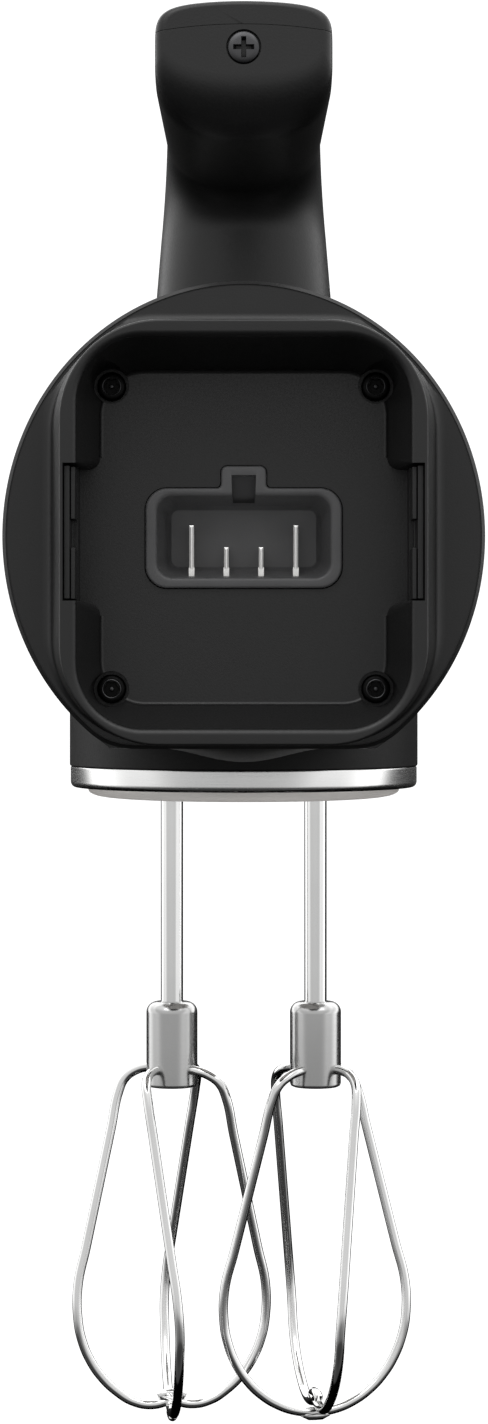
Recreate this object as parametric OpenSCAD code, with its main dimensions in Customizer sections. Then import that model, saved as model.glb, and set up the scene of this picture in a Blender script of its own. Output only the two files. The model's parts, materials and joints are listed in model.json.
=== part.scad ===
// Cordless hand mixer with its battery pack taken off.
// X is to the right seen from behind, Y is forwards and Z is up. The origin is the centre
// of the battery bay's rim, which is the heel that the mixer rests on, on the motor's axis.

/* [Housing] */
// Half width of the oval rear plate
plate_a = 48.35; // [47.9:0.05:48.8]
// Half height of the oval rear plate
plate_b = 51.1; // [50.8:0.1:51.4]
// How far below the motor's axis the rear plate is cut flat
plate_flat = 42.6; // [42.4:0.1:42.8]
// Distance from the bay's rim forwards to the rear plate
plate_y = 20; // [19.8:0.1:20.2]
// How far the belly of the housing bulges below the flat
belly = 3.3; // [3:0.1:3.5]
// Wall of the moulded casings
wall = 2.4; // [2.2:0.1:2.6]

/* [Battery bay] */
// Half width of the bay's mouth
bay_half = 32.6; // [32.4:0.1:32.8]
// Distance from the rim forwards to the bay's floor
bay_depth = 23.5; // [23.3:0.1:23.7]
// Spacing of the contact blades
blade_pitch = 7; // [6.8:0.1:7.2]

/* [Base] */
// Half width of the base block
base_a = 38.7; // [38.4:0.1:39]
// Half length of the base block
base_b = 46; // [45.8:0.1:46.2]
// Height of the base block's lower edge
skirt_z = -47.8; // [-48:0.1:-47.6]
// Height of the silver band
band_h = 4.7; // [4.5:0.1:4.8]

/* [Handle] */
// Half width of the grip
grip_half = 17.75; // [17.5:0.05:18]
// Height of the grip's underside
grip_low = 79.8; // [79.6:0.1:80]
// Height of the grip's top
grip_high = 106.4; // [106.2:0.1:106.6]
// Distance from the bay's rim to the rear end of the grip
grip_y = 16; // [15.8:0.1:16.2]

/* [Beaters] */
// Spacing of the two beater axes
beater_gap = 32; // [31.9:0.1:32.1]
// Distance from the bay's rim to the beater axes
beater_y = 98; // [97.9:0.1:98.1]
// Diameter of a beater stem
stem_d = 5; // [4.9:0.05:5.05]
// Diameter of the beater wire
wire_d = 2.1; // [1.9:0.05:2.2]
// Radius of a beater at its widest, to the middle of the wire
cage_r = 21.05; // [20.8:0.05:21.1]
// Height of the lowest point of a beater, to the middle of the wire
cage_z = -192; // [-193:0.1:-191]

/* [Drive] */
// Teeth on each worm wheel
wheel_teeth = 24; // [24]
// Radius of the worm at its pitch line
worm_r = 4; // [4]

/* [Hidden] */
$fn = 48;

eps = 0.05;             // overlap that makes a cut clean
run = 0.05;             // radial clearance of a running fit
snug = 0.02;            // radial clearance of a fixed fit
black = [0.13, 0.13, 0.135];
plate_t = 2.5;          // thickness of the rear plate
plate_front = plate_y + plate_t;
nose_y = 128;           // where the nose cap meets the drum
sides = [-1, 1];

// Bay, as seen from behind
bay_top = bay_half + 5.5;
bay_bottom = -(bay_half + 5.8);
rim_t = 3.2;            // width of the bay's rim
rim_r = 19.5;           // its corners stay inside the plate's outline
floor_half = bay_half - 3.8;
floor_top = 33.3;
floor_bottom = -33.8;
screw_x = 26.6;         // corner screws of the bay
screw_top = 30.3;
screw_bottom = -30.6;
screw_seats = [for (s = sides, z = [screw_top, screw_bottom]) [s * screw_x, z]];
latch_half = 13.4;      // half height of a latch window
socket_top = 8.1;       // mouth of the connector's socket
socket_bottom = -8.1;
blade_t = 0.9;
blade_low = -8;

// Handle: grip, elbow and post share one bend centre
bend_y = 92;
bend_r = 8;             // radius under the grip where it turns into the post
bend_z = grip_low - bend_r;
top_r = grip_high - bend_z;
post_r = 41;            // from the bend centre to the front of the post
cover_z = 101.5;        // parting line of the handle's top cover
cover_y = 98;           // front end of the top cover
end_screw_z = 97.1;
button_y = 112;         // eject button and its rod
power_y = 88;
rocker_y = 68;
rocker_z = 101;
board_z = 90;
board_t = 1.6;

// Drive train
worm_lead = 2 * PI;     // two starts of module 1
wheel_r = wheel_teeth / 2;
wheel_h = 9;
wheel_twist = wheel_h / (worm_r * wheel_r) * 180 / PI;  // the teeth lean with the worm's thread
beater_x = beater_gap / 2;
shaft_r = 2;
sleeve_r = 4.5;
sleeve_bore = stem_d / 2 + 0.1;
sleeve_low = -50;
sleeve_high = 14;
bush_r = 7;
can_r = 18;
can_y = 40;
can_front = 76;
box_rear = 80;          // gearbox walls, front to back
box_front = 116;
box_half = 32;
box_wall = 4;
box_low = -10;
box_high = 8;
lid_t = 3;
leg_x = 22;
legs = [for (s = sides, y = [84.5, 113]) [s * leg_x, y]];
lid_screws = [for (s = sides, y = [82, 114]) [s * 26, y]];
yoke_z = 23;
yoke_t = 3;
tier_z = skirt_z - band_h;
tier_h = 2.25;
base_bottom = tier_z - tier_h;
plug_top = tier_z + 2;

// Beaters
stem_top = -12;
ferrule_top = -100.4;
ferrule_bottom = -119.4;
ferrule_r = 5.7;
wire_hole_z = -115.3;
belly_z = -168.8;

// ---- Outlines and solids that several pieces share ----

// Extrudes an outline drawn as seen from behind, from y0 forwards to y1
module from_behind(y0, y1) translate([0, y1, 0]) rotate([90, 0, 0]) linear_extrude(y1 - y0) children();

// Extrudes a plan outline from z0 up to z1
module plan(z0, z1) translate([0, 0, z0]) linear_extrude(z1 - z0) children();

module disc_y(y0, y1, r, at = [0, 0]) from_behind(y0, y1) translate(at) circle(r);

module ring_y(y0, y1, r_out, r_in, at = [0, 0]) from_behind(y0, y1) translate(at) difference() {
    circle(r_out);
    circle(r_in);
}

module disc_z(z0, z1, r, at = [0, 0]) plan(z0, z1) translate(at) circle(r);

module ring_z(z0, z1, r_out, r_in, at = [0, 0]) plan(z0, z1) translate(at) difference() {
    circle(r_out);
    circle(r_in);
}

// A box between two opposite corners
module block(low, high) translate(low) cube(high - low);

// Closed skin over rings of points. Each ring runs counter-clockwise seen from the first ring's side.
module loft(rings) {
    n = len(rings[0]);
    last = (len(rings) - 1) * n;
    skin = [for (j = [0:len(rings) - 2], i = [0:n - 1])
        let (a = j * n + i, b = j * n + (i + 1) % n)
        each [[a, b, b + n], [a, b + n, a + n]]];
    polyhedron(
        points = [for (ring = rings, p = ring) p],
        faces = concat([[for (i = [n - 1:-1:0]) i]], [[for (i = [0:n - 1]) last + i]], skin)
    );
}

// Oval with its own height above and below the axis
function oval(a, up, low, n = 48) = [for (i = [0:n - 1])
    let (t = 360 * i / n, s = sin(t))
    [a * cos(t), s > 0 ? up * s : low * s]];

// Rectangle with rounded corners between a top and a bottom height
function rounded(half, top, bottom, r, n = 8) = [
    for (c = [[1, 1, 0], [-1, 1, 90], [-1, -1, 180], [1, -1, 270]], i = [0:n])
    let (a = c[2] + 90 * i / n)
    [c[0] * (half - r) + r * cos(a), (c[1] > 0 ? top - r : bottom + r) + r * sin(a)]
];

// Puts an outline drawn as seen from behind at a distance y
function at_y(outline, y) = [for (p = outline) [p[0], y, p[1]]];

// Puts a plan outline at a height z
function at_z(outline, z) = [for (p = outline) [p[0], p[1], z]];

// Plan of the base, an oval about the beaters' middle
function base_plan(inset = 0) = [for (p = oval(base_a - inset, base_b - inset, base_b - inset, 72))
    [p[0], beater_y + p[1]]];

function unit(v) = v / norm(v);

// A round bar along a list of points; ref is a direction that the path never runs along
module bar(path, r, ref, n = 8) {
    last = len(path) - 1;
    loft([for (i = [0:last])
        let (
            t = unit(path[min(i + 1, last)] - path[max(i - 1, 0)]),
            u = unit(ref - (ref * t) * t),
            v = cross(u, t)
        )
        [for (k = [0:n - 1]) path[i] + r * cos(360 * k / n) * u + r * sin(360 * k / n) * v]]);
}

// A lead: straight runs of round wire with a ball at each bend
module lead(points, r) {
    for (i = [0:len(points) - 2]) {
        run_of = points[i + 1] - points[i];
        translate(points[i])
            rotate([0, acos(run_of[2] / norm(run_of)), atan2(run_of[1], run_of[0])])
                cylinder(h = norm(run_of), r = r, $fn = 24);
    }
    for (i = [1:len(points) - 2]) translate(points[i]) sphere(r, $fn = 24);
}

// Machine screw that points up, its head below z = 0
module screw_up(r, length, head_r, head_h) {
    difference() {
        union() {
            translate([0, 0, -head_h]) cylinder(h = head_h, r = head_r);
            cylinder(h = length, r = r);
        }
        translate([0, 0, -head_h - eps]) cylinder(h = head_h * 0.6 + eps, r = head_r * 0.5, $fn = 6);
    }
}

// ---- Housing ----

// Each step: distance forwards, share of the full oval and share of the belly's bulge
drum_steps = [[plate_front, 1, 0.2], [30, 1, 0.7], [45, 0.998, 1], [70, 0.985, 1], [95, 0.96, 1], [112, 0.925, 1],
    [nose_y, 0.87, 1]];
nose_steps = [[nose_y, 0.87, 1], [136, 0.83, 1], [143, 0.76, 0.8], [148.5, 0.67, 0.6], [152.5, 0.55, 0.3],
    [154.5, 0.43, 0.1], [155, 0.36, 0]];
belly_half = 20;        // half width of the belly's bulge

// The oval, flattened below except for the bulge along its middle
function housing_ring(y, k, swell, inset = 0) = [for (p = oval(plate_a * k - inset, plate_b * k - inset,
    plate_b * k - inset))
    let (x = min(abs(p[0]) / belly_half, 1), low = plate_flat * k - inset + swell * belly * pow(cos(90 * x), 2))
    [p[0], y, max(p[1], -low)]];

module drum_solid() loft([for (s = drum_steps) housing_ring(s[0], s[1], s[2])]);

module nose_solid() loft([for (s = nose_steps) housing_ring(s[0], s[1], s[2])]);

module drum_shell() color(black) difference() {
    union() {
        difference() {
            drum_solid();
            loft([for (s = concat([[plate_front - 1, 1, 0.2]], drum_steps, [[nose_y + 1, 0.867, 1]]))
                housing_ring(s[0], s[1], s[2], wall)]);
        }
        for (p = screw_seats) {
            disc_y(29.2, 42, 4, p);
            // rib from the boss out to the wall
            translate([p[0], 29.2, p[1]]) rotate([0, -atan2(p[1], p[0]), 0])
                translate([2.6, 0.4, -1]) cube([6, 12, 2]);
        }
    }
    for (p = screw_seats) disc_y(29, 43, 1.3, p);
    // way down to the beaters, and up into the handle
    block([-box_half, 78, -60], [box_half, 120, -20]);
    block([-13, 104, 20], [13, 127, 60]);
}

module nose_cap() color(black) difference() {
    nose_solid();
    loft([for (s = [[nose_y - 1, 0.873, 1], [136, 0.83, 1], [143, 0.76, 0.8], [148.5, 0.67, 0.6],
        [151.5, 0.55, 0.3], [152.6, 0.4, 0.1]]) housing_ring(s[0], s[1], s[2], wall)]);
}

module base_skirt() color(black) difference() {
    plan(skirt_z, -14) polygon(base_plan());
    plan(skirt_z - 1, -13) polygon(base_plan(wall));
    drum_solid();
    nose_solid();
}

module base_band() color([0.72, 0.72, 0.72]) difference() {
    loft([
        at_z(base_plan(0.2), skirt_z),
        at_z(base_plan(0.2), tier_z + 1.2),
        at_z(base_plan(0.55), tier_z + 0.35),
        at_z(base_plan(1.4), tier_z)
    ]);
    plan(tier_z - 1, skirt_z + 1) polygon(base_plan(8.2));
}

module base_plate() color([0.6, 0.59, 0.57]) difference() {
    union() {
        loft([at_z(base_plan(4), tier_z), at_z(base_plan(9), base_bottom)]);
        plan(tier_z - eps, plug_top) polygon(base_plan(8.4));
        for (s = sides) disc_z(tier_z, -43, 9, [s * beater_x, beater_y]);
    }
    for (s = sides) {
        disc_z(sleeve_low - 0.4, -42, bush_r + snug, [s * beater_x, beater_y]);
        disc_z(base_bottom - 1, -49, sleeve_r + 0.4, [s * beater_x, beater_y]);
    }
    for (p = legs) {
        disc_z(base_bottom - 1, plug_top + 1, 1.6, p);
        disc_z(base_bottom - 1, base_bottom + 1.4, 3.2, p);
    }
}

module base_screws() color([0.35, 0.35, 0.36]) for (p = legs)
    translate([p[0], p[1], base_bottom + 1.4]) screw_up(1.5, 16, 3, 1.2);

// ---- Rear cover and battery bay ----

function oval_plate(inset) = [for (p = oval(plate_a - inset, plate_b - inset, plate_b - inset, 96))
    [p[0], max(p[1], -plate_flat + inset)]];

module rear_cover() color(black) difference() {
    union() {
        from_behind(plate_y, plate_front) polygon(oval_plate(0));
        from_behind(plate_front - eps, 27) difference() {
            polygon(oval_plate(wall + 0.3));
            polygon(oval_plate(wall + 2));
            translate([-60, -60]) square([120, 32]);
        }
        // frame that stands out around the bay, with its flat rim
        from_behind(0, 0.6) polygon(rounded(bay_half + rim_t, bay_top + rim_t, bay_bottom - rim_t, rim_r));
        loft([
            at_y(rounded(bay_half + rim_t, bay_top + rim_t, bay_bottom - rim_t, rim_r), 0.5),
            at_y(rounded(bay_half + 5.1, bay_top + 3.9, -plate_flat + 0.3, 22), plate_y - 2.4),
            at_y(rounded(bay_half + 6.4, bay_top + 5.3, -plate_flat, 27), plate_y + eps)
        ]);
        from_behind(plate_y, 26) polygon(rounded(33, 37.5, -38, 12));
        for (p = screw_seats) disc_y(25, 29, 4.6, p);
    }
    loft([
        at_y(rounded(bay_half, bay_top, bay_bottom, 13), -eps),
        at_y(rounded(floor_half, floor_top, floor_bottom, 9), bay_depth)
    ]);
    for (s = sides) {
        // latch window in the side of the frame, and the straight wall below it
        block([s * 34 - 1.2, -1, -latch_half], [s * 34 + 1.2, 16, latch_half]);
        block([s * 30.9 - 2, -1, -latch_half], [s * 30.9 + 2, bay_depth, latch_half]);
    }
    from_behind(bay_depth - 1, 27) {
        polygon(rounded(19.8, 9.8, -10.4, 4.4));
        translate([-4.6, 0]) square([9.2, 14.3]);
    }
    for (p = screw_seats) {
        disc_y(4, 26.4, 3.6, p);
        disc_y(4, 30, 1.6, p);
    }
}

module bay_screws() color([0.3, 0.3, 0.31]) for (p = screw_seats) {
    difference() {
        union() {
            disc_y(24.3, 26.4, 2.9, p);
            disc_y(26.3, 40, 1.25, p);
        }
        disc_y(24, 25.6, 1.7, p, $fn = 6);
    }
    disc_y(24.6, 25.8, 0.55, p);
}

// One catch bar pair on its backing plate
module latch_strike(s) color([0.2, 0.2, 0.2]) {
    block([s * 34.475 - 0.575, 2, -13], [s * 34.475 + 0.575, 14, 13]);
    for (z = [[2.6, 12.8], [-13, -3]])
        block([s * 33.45 - 0.55, 3, z[0]], [s * 33.45 + 0.55, 13, z[1]]);
}

module latch_strike_left() latch_strike(-1);

module latch_strike_right() latch_strike(1);

module connector_housing() color([0.3, 0.3, 0.31]) difference() {
    union() {
        from_behind(22.3, 33.5) polygon(rounded(19.75, 9.75, -10.35, 4.4));
        from_behind(22.3, 27) translate([-4.55, 5]) square([9.1, 9.2]);
        from_behind(27.05, 28.5) polygon(rounded(22, 13, -13, 4));
    }
    loft([
        at_y(rounded(17.3, socket_top, socket_bottom, 3), 22.2),
        at_y(rounded(15.2, 6.2, -6.3, 2), 32)
    ]);
    // keyway in the top tab
    block([-2.35, 22, 7], [2.35, 26, 12.3]);
    for (x = [-1.5, -0.5, 0.5, 1.5] * blade_pitch)
        block([x - blade_t / 2 - snug, 24, blade_low - snug], [x + blade_t / 2 + snug, 34, blade_top(x) + snug]);
}

// The two outer blades are the tall ones
function blade_top(x) = abs(x) > blade_pitch ? 2.3 : -2.1;

module blades(list) color([0.85, 0.84, 0.8]) for (x = list * blade_pitch)
    block([x - blade_t / 2, 24, blade_low], [x + blade_t / 2, 36, blade_top(x)]);

module power_blades() blades([-1.5, 1.5]);

module signal_blades() blades([-0.5, 0.5]);

// ---- Handle ----

// Section of the handle: u across, r out from the bend centre
function section(half, low, mid, high, n = 40) = [for (i = [0:n - 1])
    let (t = 360 * i / n, c = cos(t), s = sin(t), e = s > 0 ? 4.5 : 2.3)
    [
        half * sign(c) * pow(abs(c), 2 / e),
        mid + (s > 0 ? high - mid : mid - low) * sign(s) * pow(abs(s), 2 / e)
    ]];

// Each step: turn about the bend, travel before or after it, half width, middle and outer radius
function handle_ring(turn, travel, half, mid, high, inset) =
    let (y = turn < 90 ? bend_y + travel : bend_y, z = turn < 90 ? bend_z : bend_z + travel)
    [for (p = section(half - inset, bend_r + inset, mid, high - inset))
        [p[0], y + p[1] * sin(turn), z + p[1] * cos(turn)]];

grip_mid = 90 - bend_z;
grip_steps = [for (y = [grip_y + 2.5, 40, 66, bend_y]) [0, y - bend_y, grip_half - 0.75 * y / bend_y]];
bend_steps = [for (a = [15:15:75]) [a, 0, 17 + 1.8 * pow(a / 90, 2.2)]];
post_steps = [[90, 0, 18.8], [90, -12, 19.8], [90, -20, 20.4], [90, -38, 21.2]];

function steps_to_rings(steps, inset) = [for (s = steps)
    let (k = s[0] / 90)
    handle_ring(s[0], s[1], s[2], grip_mid + 7 * k, top_r + (post_r - top_r) * k, inset)];

module handle_solid() loft(concat(
    [
        handle_ring(0, grip_y - bend_y, grip_half, grip_mid, top_r, 2.6),
        handle_ring(0, grip_y + 0.7 - bend_y, grip_half, grip_mid, top_r, 1)
    ],
    steps_to_rings(concat(grip_steps, bend_steps, post_steps), 0)
));

module handle_hollow() loft(concat(
    [handle_ring(0, grip_y + wall - bend_y, grip_half, grip_mid, top_r, wall + 0.4)],
    steps_to_rings(concat([for (s = grip_steps) if (s[1] > -70) s], bend_steps, post_steps,
        [[90, -40, 21.2]]), wall)
));

module cover_zone(gap = 0) block([-30, 0, cover_z - gap], [30, cover_y + gap, 120]);

module handle_shell() color(black) difference() {
    handle_solid();
    handle_hollow();
    cover_zone(0.1);
    drum_solid();
    nose_solid();
    disc_z(60, 120, 6.3, [0, button_y]);
    // seat and hole of the end screw
    disc_y(grip_y - 1, grip_y + 1.4, 3.7, [0, end_screw_z]);
    disc_y(grip_y - 1, grip_y + 6, 1.6, [0, end_screw_z]);
}

module handle_top_cover() color(black) difference() {
    union() {
        difference() {
            intersection() {
                handle_solid();
                cover_zone();
            }
            handle_hollow();
        }
        // boss for the end screw, posts for the board and ears for the rocker
        block([-4, 19.4, 94], [4, 30, 104.6]);
        for (s = sides) {
            for (y = [60, 96]) disc_z(board_z + board_t, 104.6, 1.8, [s * 9, y]);
            block([s * 7.2 - 1.1, rocker_y - 2.5, 98.4], [s * 7.2 + 1.1, rocker_y + 2.5, 104.6]);
        }
    }
    disc_y(19, 31, 1.6, [0, end_screw_z]);
    disc_z(90, 120, 5.3, [0, power_y]);
    block([-5.4, rocker_y - 10.8, 99], [5.4, rocker_y + 10.8, 120]);
    translate([-9, rocker_y, rocker_z]) rotate([0, 90, 0]) cylinder(h = 18, r = 1.1);
}

module handle_end_screw() color([0.38, 0.38, 0.39]) difference() {
    union() {
        intersection() {
            disc_y(grip_y, grip_y + 1.4, 3.4, [0, end_screw_z]);
            translate([0, grip_y + 6.2, end_screw_z]) sphere(6.8);
        }
        disc_y(grip_y + 1.3, grip_y + 13, 1.5, [0, end_screw_z]);
    }
    for (a = [0, 90]) translate([0, grip_y + 0.2, end_screw_z]) rotate([0, a, 0])
        cube([4, 1.6, 0.7], center = true);
}

// ---- Gearbox and motor ----

module gearbox_frame() color([0.75, 0.75, 0.72]) difference() {
    union() {
        block([-box_half, box_rear, box_low], [box_half, box_front, box_high]);
        for (p = legs) disc_z(plug_top + 0.1, box_low + 1, 3.5, p);
        // bracket under the driver board
        block([-10, box_rear, -28], [10, box_rear + box_wall, box_low + 1]);
        block([-10, 58, -28], [10, box_rear + 1, -26]);
    }
    block([-box_half + 2, box_rear + box_wall, box_low + 3], [box_half - 2, box_front - box_wall, box_high + 1]);
    disc_y(box_rear - 1, box_rear + box_wall + 1, 5);
    disc_y(box_front - box_wall - 1, box_front + 1, 3.5 + snug);
    for (s = sides) {
        disc_z(box_low - 1, box_low + 4, sleeve_r + 0.2, [s * beater_x, beater_y]);
        disc_y(box_rear - 1, box_rear + box_wall + 1, 1.3, [s * 11, 0]);
    }
    for (p = legs) disc_z(plug_top, plug_top + 15, 1.6, p);
    for (p = lid_screws) disc_z(-4, box_high + 1, 1.3, p);
}

module gearbox_lid() color([0.7, 0.7, 0.67]) plan(box_high, box_high + lid_t) difference() {
    translate([-box_half, box_rear]) square([2 * box_half, box_front - box_rear]);
    for (s = sides) translate([s * beater_x, beater_y]) circle(bush_r + snug);
    for (p = lid_screws) translate(p) circle(1.3);
}

module gearbox_screws() color([0.6, 0.6, 0.62]) for (p = lid_screws)
    translate([p[0], p[1], box_high + lid_t]) rotate([180, 0, 0]) screw_up(1.2, 13, 2.4, 1.4);

module bushes(z0, z1) for (s = sides)
    ring_z(z0, z1, bush_r, sleeve_r + run, [s * beater_x, beater_y]);

module upper_spindle_bushes() color([0.72, 0.55, 0.3]) {
    bushes(box_high, sleeve_high - 1.8);
    for (s = sides) ring_z(box_high + lid_t, box_high + lid_t + 1.2, 8.4, sleeve_r + run, [s * beater_x, beater_y]);
}

module lower_spindle_bushes() color([0.72, 0.55, 0.3]) bushes(sleeve_low, -43.2);

module spindle_seals() color([0.1, 0.1, 0.1]) for (s = sides)
    ring_z(base_bottom + 0.5, sleeve_low - 0.5, sleeve_r + 0.35, sleeve_bore + 0.1, [s * beater_x, beater_y]);

module motor_can() color([0.62, 0.62, 0.64]) difference() {
    union() {
        disc_y(can_y, can_front, can_r);
        disc_y(can_y - 2.4, can_y + 1, 5.2);
    }
    disc_y(can_y + 1.2, can_front + 1, can_r - 1.2);
    disc_y(can_y - 3, can_y + 2, 3.5 + snug);
}

module motor_end_cap() color([0.15, 0.15, 0.16]) difference() {
    union() {
        disc_y(can_front, box_rear, can_r);
        disc_y(can_front - 2.5, can_front + 1, can_r - 1.3);
    }
    disc_y(can_front - 3, box_rear + 1, 3.5 + snug);
    for (s = sides) disc_y(can_front - 3, box_rear + 1, 1.3, [s * 11, 0]);
}

module motor_mount_screws() color([0.6, 0.6, 0.62]) for (s = sides)
    translate([s * 11, box_rear + box_wall, 0]) rotate([90, 0, 0]) screw_up(1.2, 10, 2, 1.2);

module motor_magnets() color([0.25, 0.25, 0.27]) for (a = [20, 200])
    translate([0, 66, 0]) rotate([90, 0, 0]) rotate([0, 0, a])
        rotate_extrude(angle = 140) translate([14.9, 0]) square([1.8, 22]);

module motor_bushes() color([0.72, 0.55, 0.3]) {
    for (y = [[can_y - 2.2, can_y + 1], [can_front - 0.5, box_rear - 0.5], [box_front - 3.8, box_front - 0.2]])
        ring_y(y[0], y[1], 3.5, shaft_r + run);
}

module carbon_brushes() color([0.2, 0.2, 0.21]) for (s = sides)
    block([s * 7 - 2.8, 68, -2], [s * 7 + 2.8, 73.4, 2]);

module driver_board() {
    color([0.08, 0.3, 0.18]) block([-24, 44, -26], [24, 76, -24.4]);
    color([0.15, 0.15, 0.16]) {
        for (x = [-18, -12, 12, 18]) block([x - 2, 60, -24.4], [x + 2, 66, -22.6]);
        for (s = sides) disc_z(-24.4, -20.5, 3.4, [s * 19, 50]);
    }
}

module power_leads() color([0.6, 0.1, 0.1]) for (s = sides)
    lead([[s * 10.5, 36.1, -3], [s * 10.5, 37.9, -3], [s * 10.5, 37.9, -21], [s * 10.5, 46, -23.2]], 1.1);

module control_board() {
    color([0.08, 0.3, 0.18]) block([-11, 56, board_z], [11, 100, board_z + board_t]);
    color([0.15, 0.15, 0.16]) for (y = [rocker_y - 7, rocker_y + 7, power_y])
        block([-3, y - 3, board_z + board_t], [3, y + 3, board_z + 5]);
}

module control_harness() color([0.2, 0.2, 0.22]) bar([
    [25.3, 70, -25.2], [28, 70, -25], [31, 70.5, -20], [32.5, 72, 0], [31.5, 74, 14], [27, 82, 26],
    [18, 100, 34], [11, 116, 39], [9.5, 120, 46], [9, 120.5, 64], [9, 119.5, 80], [9, 115, 88], [9, 108, 90.8],
    [9, 101.2, 90.8]
], 1.1, [0.3, -0.8, 0.3]);

// ---- Rotor ----

module rotor_shaft() color([0.8, 0.8, 0.82]) disc_y(can_y - 1.8, 126, shaft_r);

module rotor_core() color([0.5, 0.5, 0.53]) from_behind(45, 64) difference() {
    circle(14.2);
    circle(shaft_r + snug);
    for (a = [0:72:288]) rotate(a) translate([6, -1.2]) square([12, 2.4]);
}

module rotor_windings() color([0.72, 0.4, 0.2]) for (y = [[41.9, 44.9], [64.1, 67.1]])
    ring_y(y[0], y[1], 12, 5);

module commutator() color([0.75, 0.5, 0.3]) ring_y(67.4, 72.8, 4, shaft_r + snug);

module cooling_fan() color([0.2, 0.2, 0.22]) {
    ring_y(118, 125, 4.2, shaft_r + snug);
    ring_y(118, 119, 14, 4.1);
    for (a = [0:40:320]) rotate([0, a, 0]) block([4, 118.9, -0.45], [13.6, 124.5, 0.45]);
}

// Half thickness of a tooth at a distance out from its pitch line
function tooth_half(out) = 0.55 - out * tan(20);

// Section of the two-start worm as [angle, radius]: each thread is a lobe between root and crest
function worm_section() =
    let (crest = worm_r + 0.9, root = worm_r - 1.2, turn = 360 / worm_lead,
        a = tooth_half(0.9) * turn, b = tooth_half(-1.2) * turn)
    [for (start = [0, 180], p = [[-b, root], [-(a + b) / 2, (crest + root) / 2], [-a, crest], [0, crest],
        [a, crest], [(a + b) / 2, (crest + root) / 2], [b, root], [90, root]])
        [start + p[0], p[1]]];

// The section turns once as it travels forwards by the lead
module drive_worm() color([0.78, 0.78, 0.8]) difference() {
    loft([for (a = [-460:20:460])
        [for (p = worm_section())
            [p[1] * cos(p[0] - a), beater_y + worm_lead * a / 360, p[1] * sin(p[0] - a)]]]);
    disc_y(80, 120, shaft_r + snug);
}

// ---- Spindles ----

function wheel_outline() =
    let (tip = wheel_r + 0.9, root = wheel_r - 1.2,
        a = tooth_half(0.9) / tip * 180 / PI, b = tooth_half(-1.2) / root * 180 / PI)
    [for (i = [0:wheel_teeth - 1], p = [[-b, root], [-a, tip], [a, tip], [b, root]])
        let (t = 360 / wheel_teeth * (i + 0.5) + p[0])
        p[1] * [cos(t), sin(t)]];

module drive_wheel(s) color([0.9, 0.88, 0.8]) translate([s * beater_x, beater_y, 0]) difference() {
    rotate(-wheel_twist / 2)
        linear_extrude(height = wheel_h, center = true, twist = -wheel_twist, slices = 3)
            polygon(wheel_outline());
    cylinder(h = 20, r = sleeve_r + snug, center = true);
}

module spindle(s) color([0.7, 0.7, 0.72])
    ring_z(sleeve_low, sleeve_high, sleeve_r, sleeve_bore, [s * beater_x, beater_y]);

module spindle_clip(s) color([0.5, 0.5, 0.52])
    ring_z(-11.6, -10.4, 6.4, sleeve_r + snug, [s * beater_x, beater_y]);

module left_spindle() spindle(-1);

module left_drive_wheel() drive_wheel(-1);

module left_spindle_clip() spindle_clip(-1);

module right_spindle() spindle(1);

module right_drive_wheel() drive_wheel(1);

module right_spindle_clip() spindle_clip(1);

// ---- Beaters ----

module beater_stem(s) color([0.8, 0.8, 0.8]) translate([s * beater_x, beater_y, 0]) difference() {
    translate([0, 0, ferrule_top - 12]) cylinder(h = stem_top - ferrule_top + 12, r = stem_d / 2);
    // groove that the spindle's detent drops into
    rotate_extrude() translate([stem_d / 2 + 0.4, -30]) circle(0.9);
}

module beater_ferrule(s) color([0.75, 0.75, 0.75]) translate([s * beater_x, beater_y, 0]) difference() {
    rotate_extrude() polygon(concat(
        [[0, ferrule_bottom], [ferrule_r - 0.8, ferrule_bottom], [ferrule_r, ferrule_bottom + 0.8]],
        [for (a = [0:15:90]) [ferrule_r - 2.4 + 2.4 * cos(a), ferrule_top - 2.4 + 2.4 * sin(a)]],
        [[0, ferrule_top]]
    ));
    translate([0, 0, ferrule_top - 12]) cylinder(h = 13, r = stem_d / 2 + snug);
}

// A point of a beater: r out from its axis, at an azimuth that turns from behind towards +X
function polar(x0, r, az, z) = [x0 + r * sin(az), beater_y - r * cos(az), z];

// Half a loop, from its hole in the ferrule to the bottom; tw is the way its upper part twists
function half_loop(x0, az, tw, low, lift) = concat(
    [for (p = [[4.3, 44, wire_hole_z], [7, 42.5, wire_hole_z - 0.2], [9.8, 37.5, wire_hole_z - 1.1],
        [11.9, 33, wire_hole_z - 2.8]]) polar(x0, p[0], az + tw * p[1], p[2])],
    [for (k = [0:0.2:1]) (1 - k) * polar(x0, 13, az + tw * 29, wire_hole_z - 5.6)
        + k * polar(x0, cage_r - 0.1, az + tw * 1.5, belly_z + 5)],
    [for (t = [6:12:90]) let (r = cage_r * cos(t))
        polar(x0, r, az, belly_z + (low - belly_z) * sin(t) + (r < 7 ? lift * pow(cos(r * 90 / 7), 2) : 0))]
);

module wire_loop(s, az, low, lift) color([0.82, 0.82, 0.82]) {
    tw = s;
    first = half_loop(s * beater_x, az, tw, low, lift);
    second = half_loop(s * beater_x, az + 180, tw, low, lift);
    bar(concat(first, [for (i = [len(second) - 1:-1:0]) second[i]]), wire_d / 2, [cos(az), sin(az), 0]);
}

left_turn = 6;          // azimuth of the left beater's first belly at rest
right_turn = 13.7;

module left_beater_stem() beater_stem(-1);

module left_beater_ferrule() beater_ferrule(-1);

module left_wire_loop_a() wire_loop(-1, left_turn, cage_z, 0);

module left_wire_loop_b() wire_loop(-1, left_turn + 90, cage_z + 0.6, 2.2);

module right_beater_stem() beater_stem(1);

module right_beater_ferrule() beater_ferrule(1);

module right_wire_loop_a() wire_loop(1, right_turn + 90, cage_z, 0);

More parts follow.
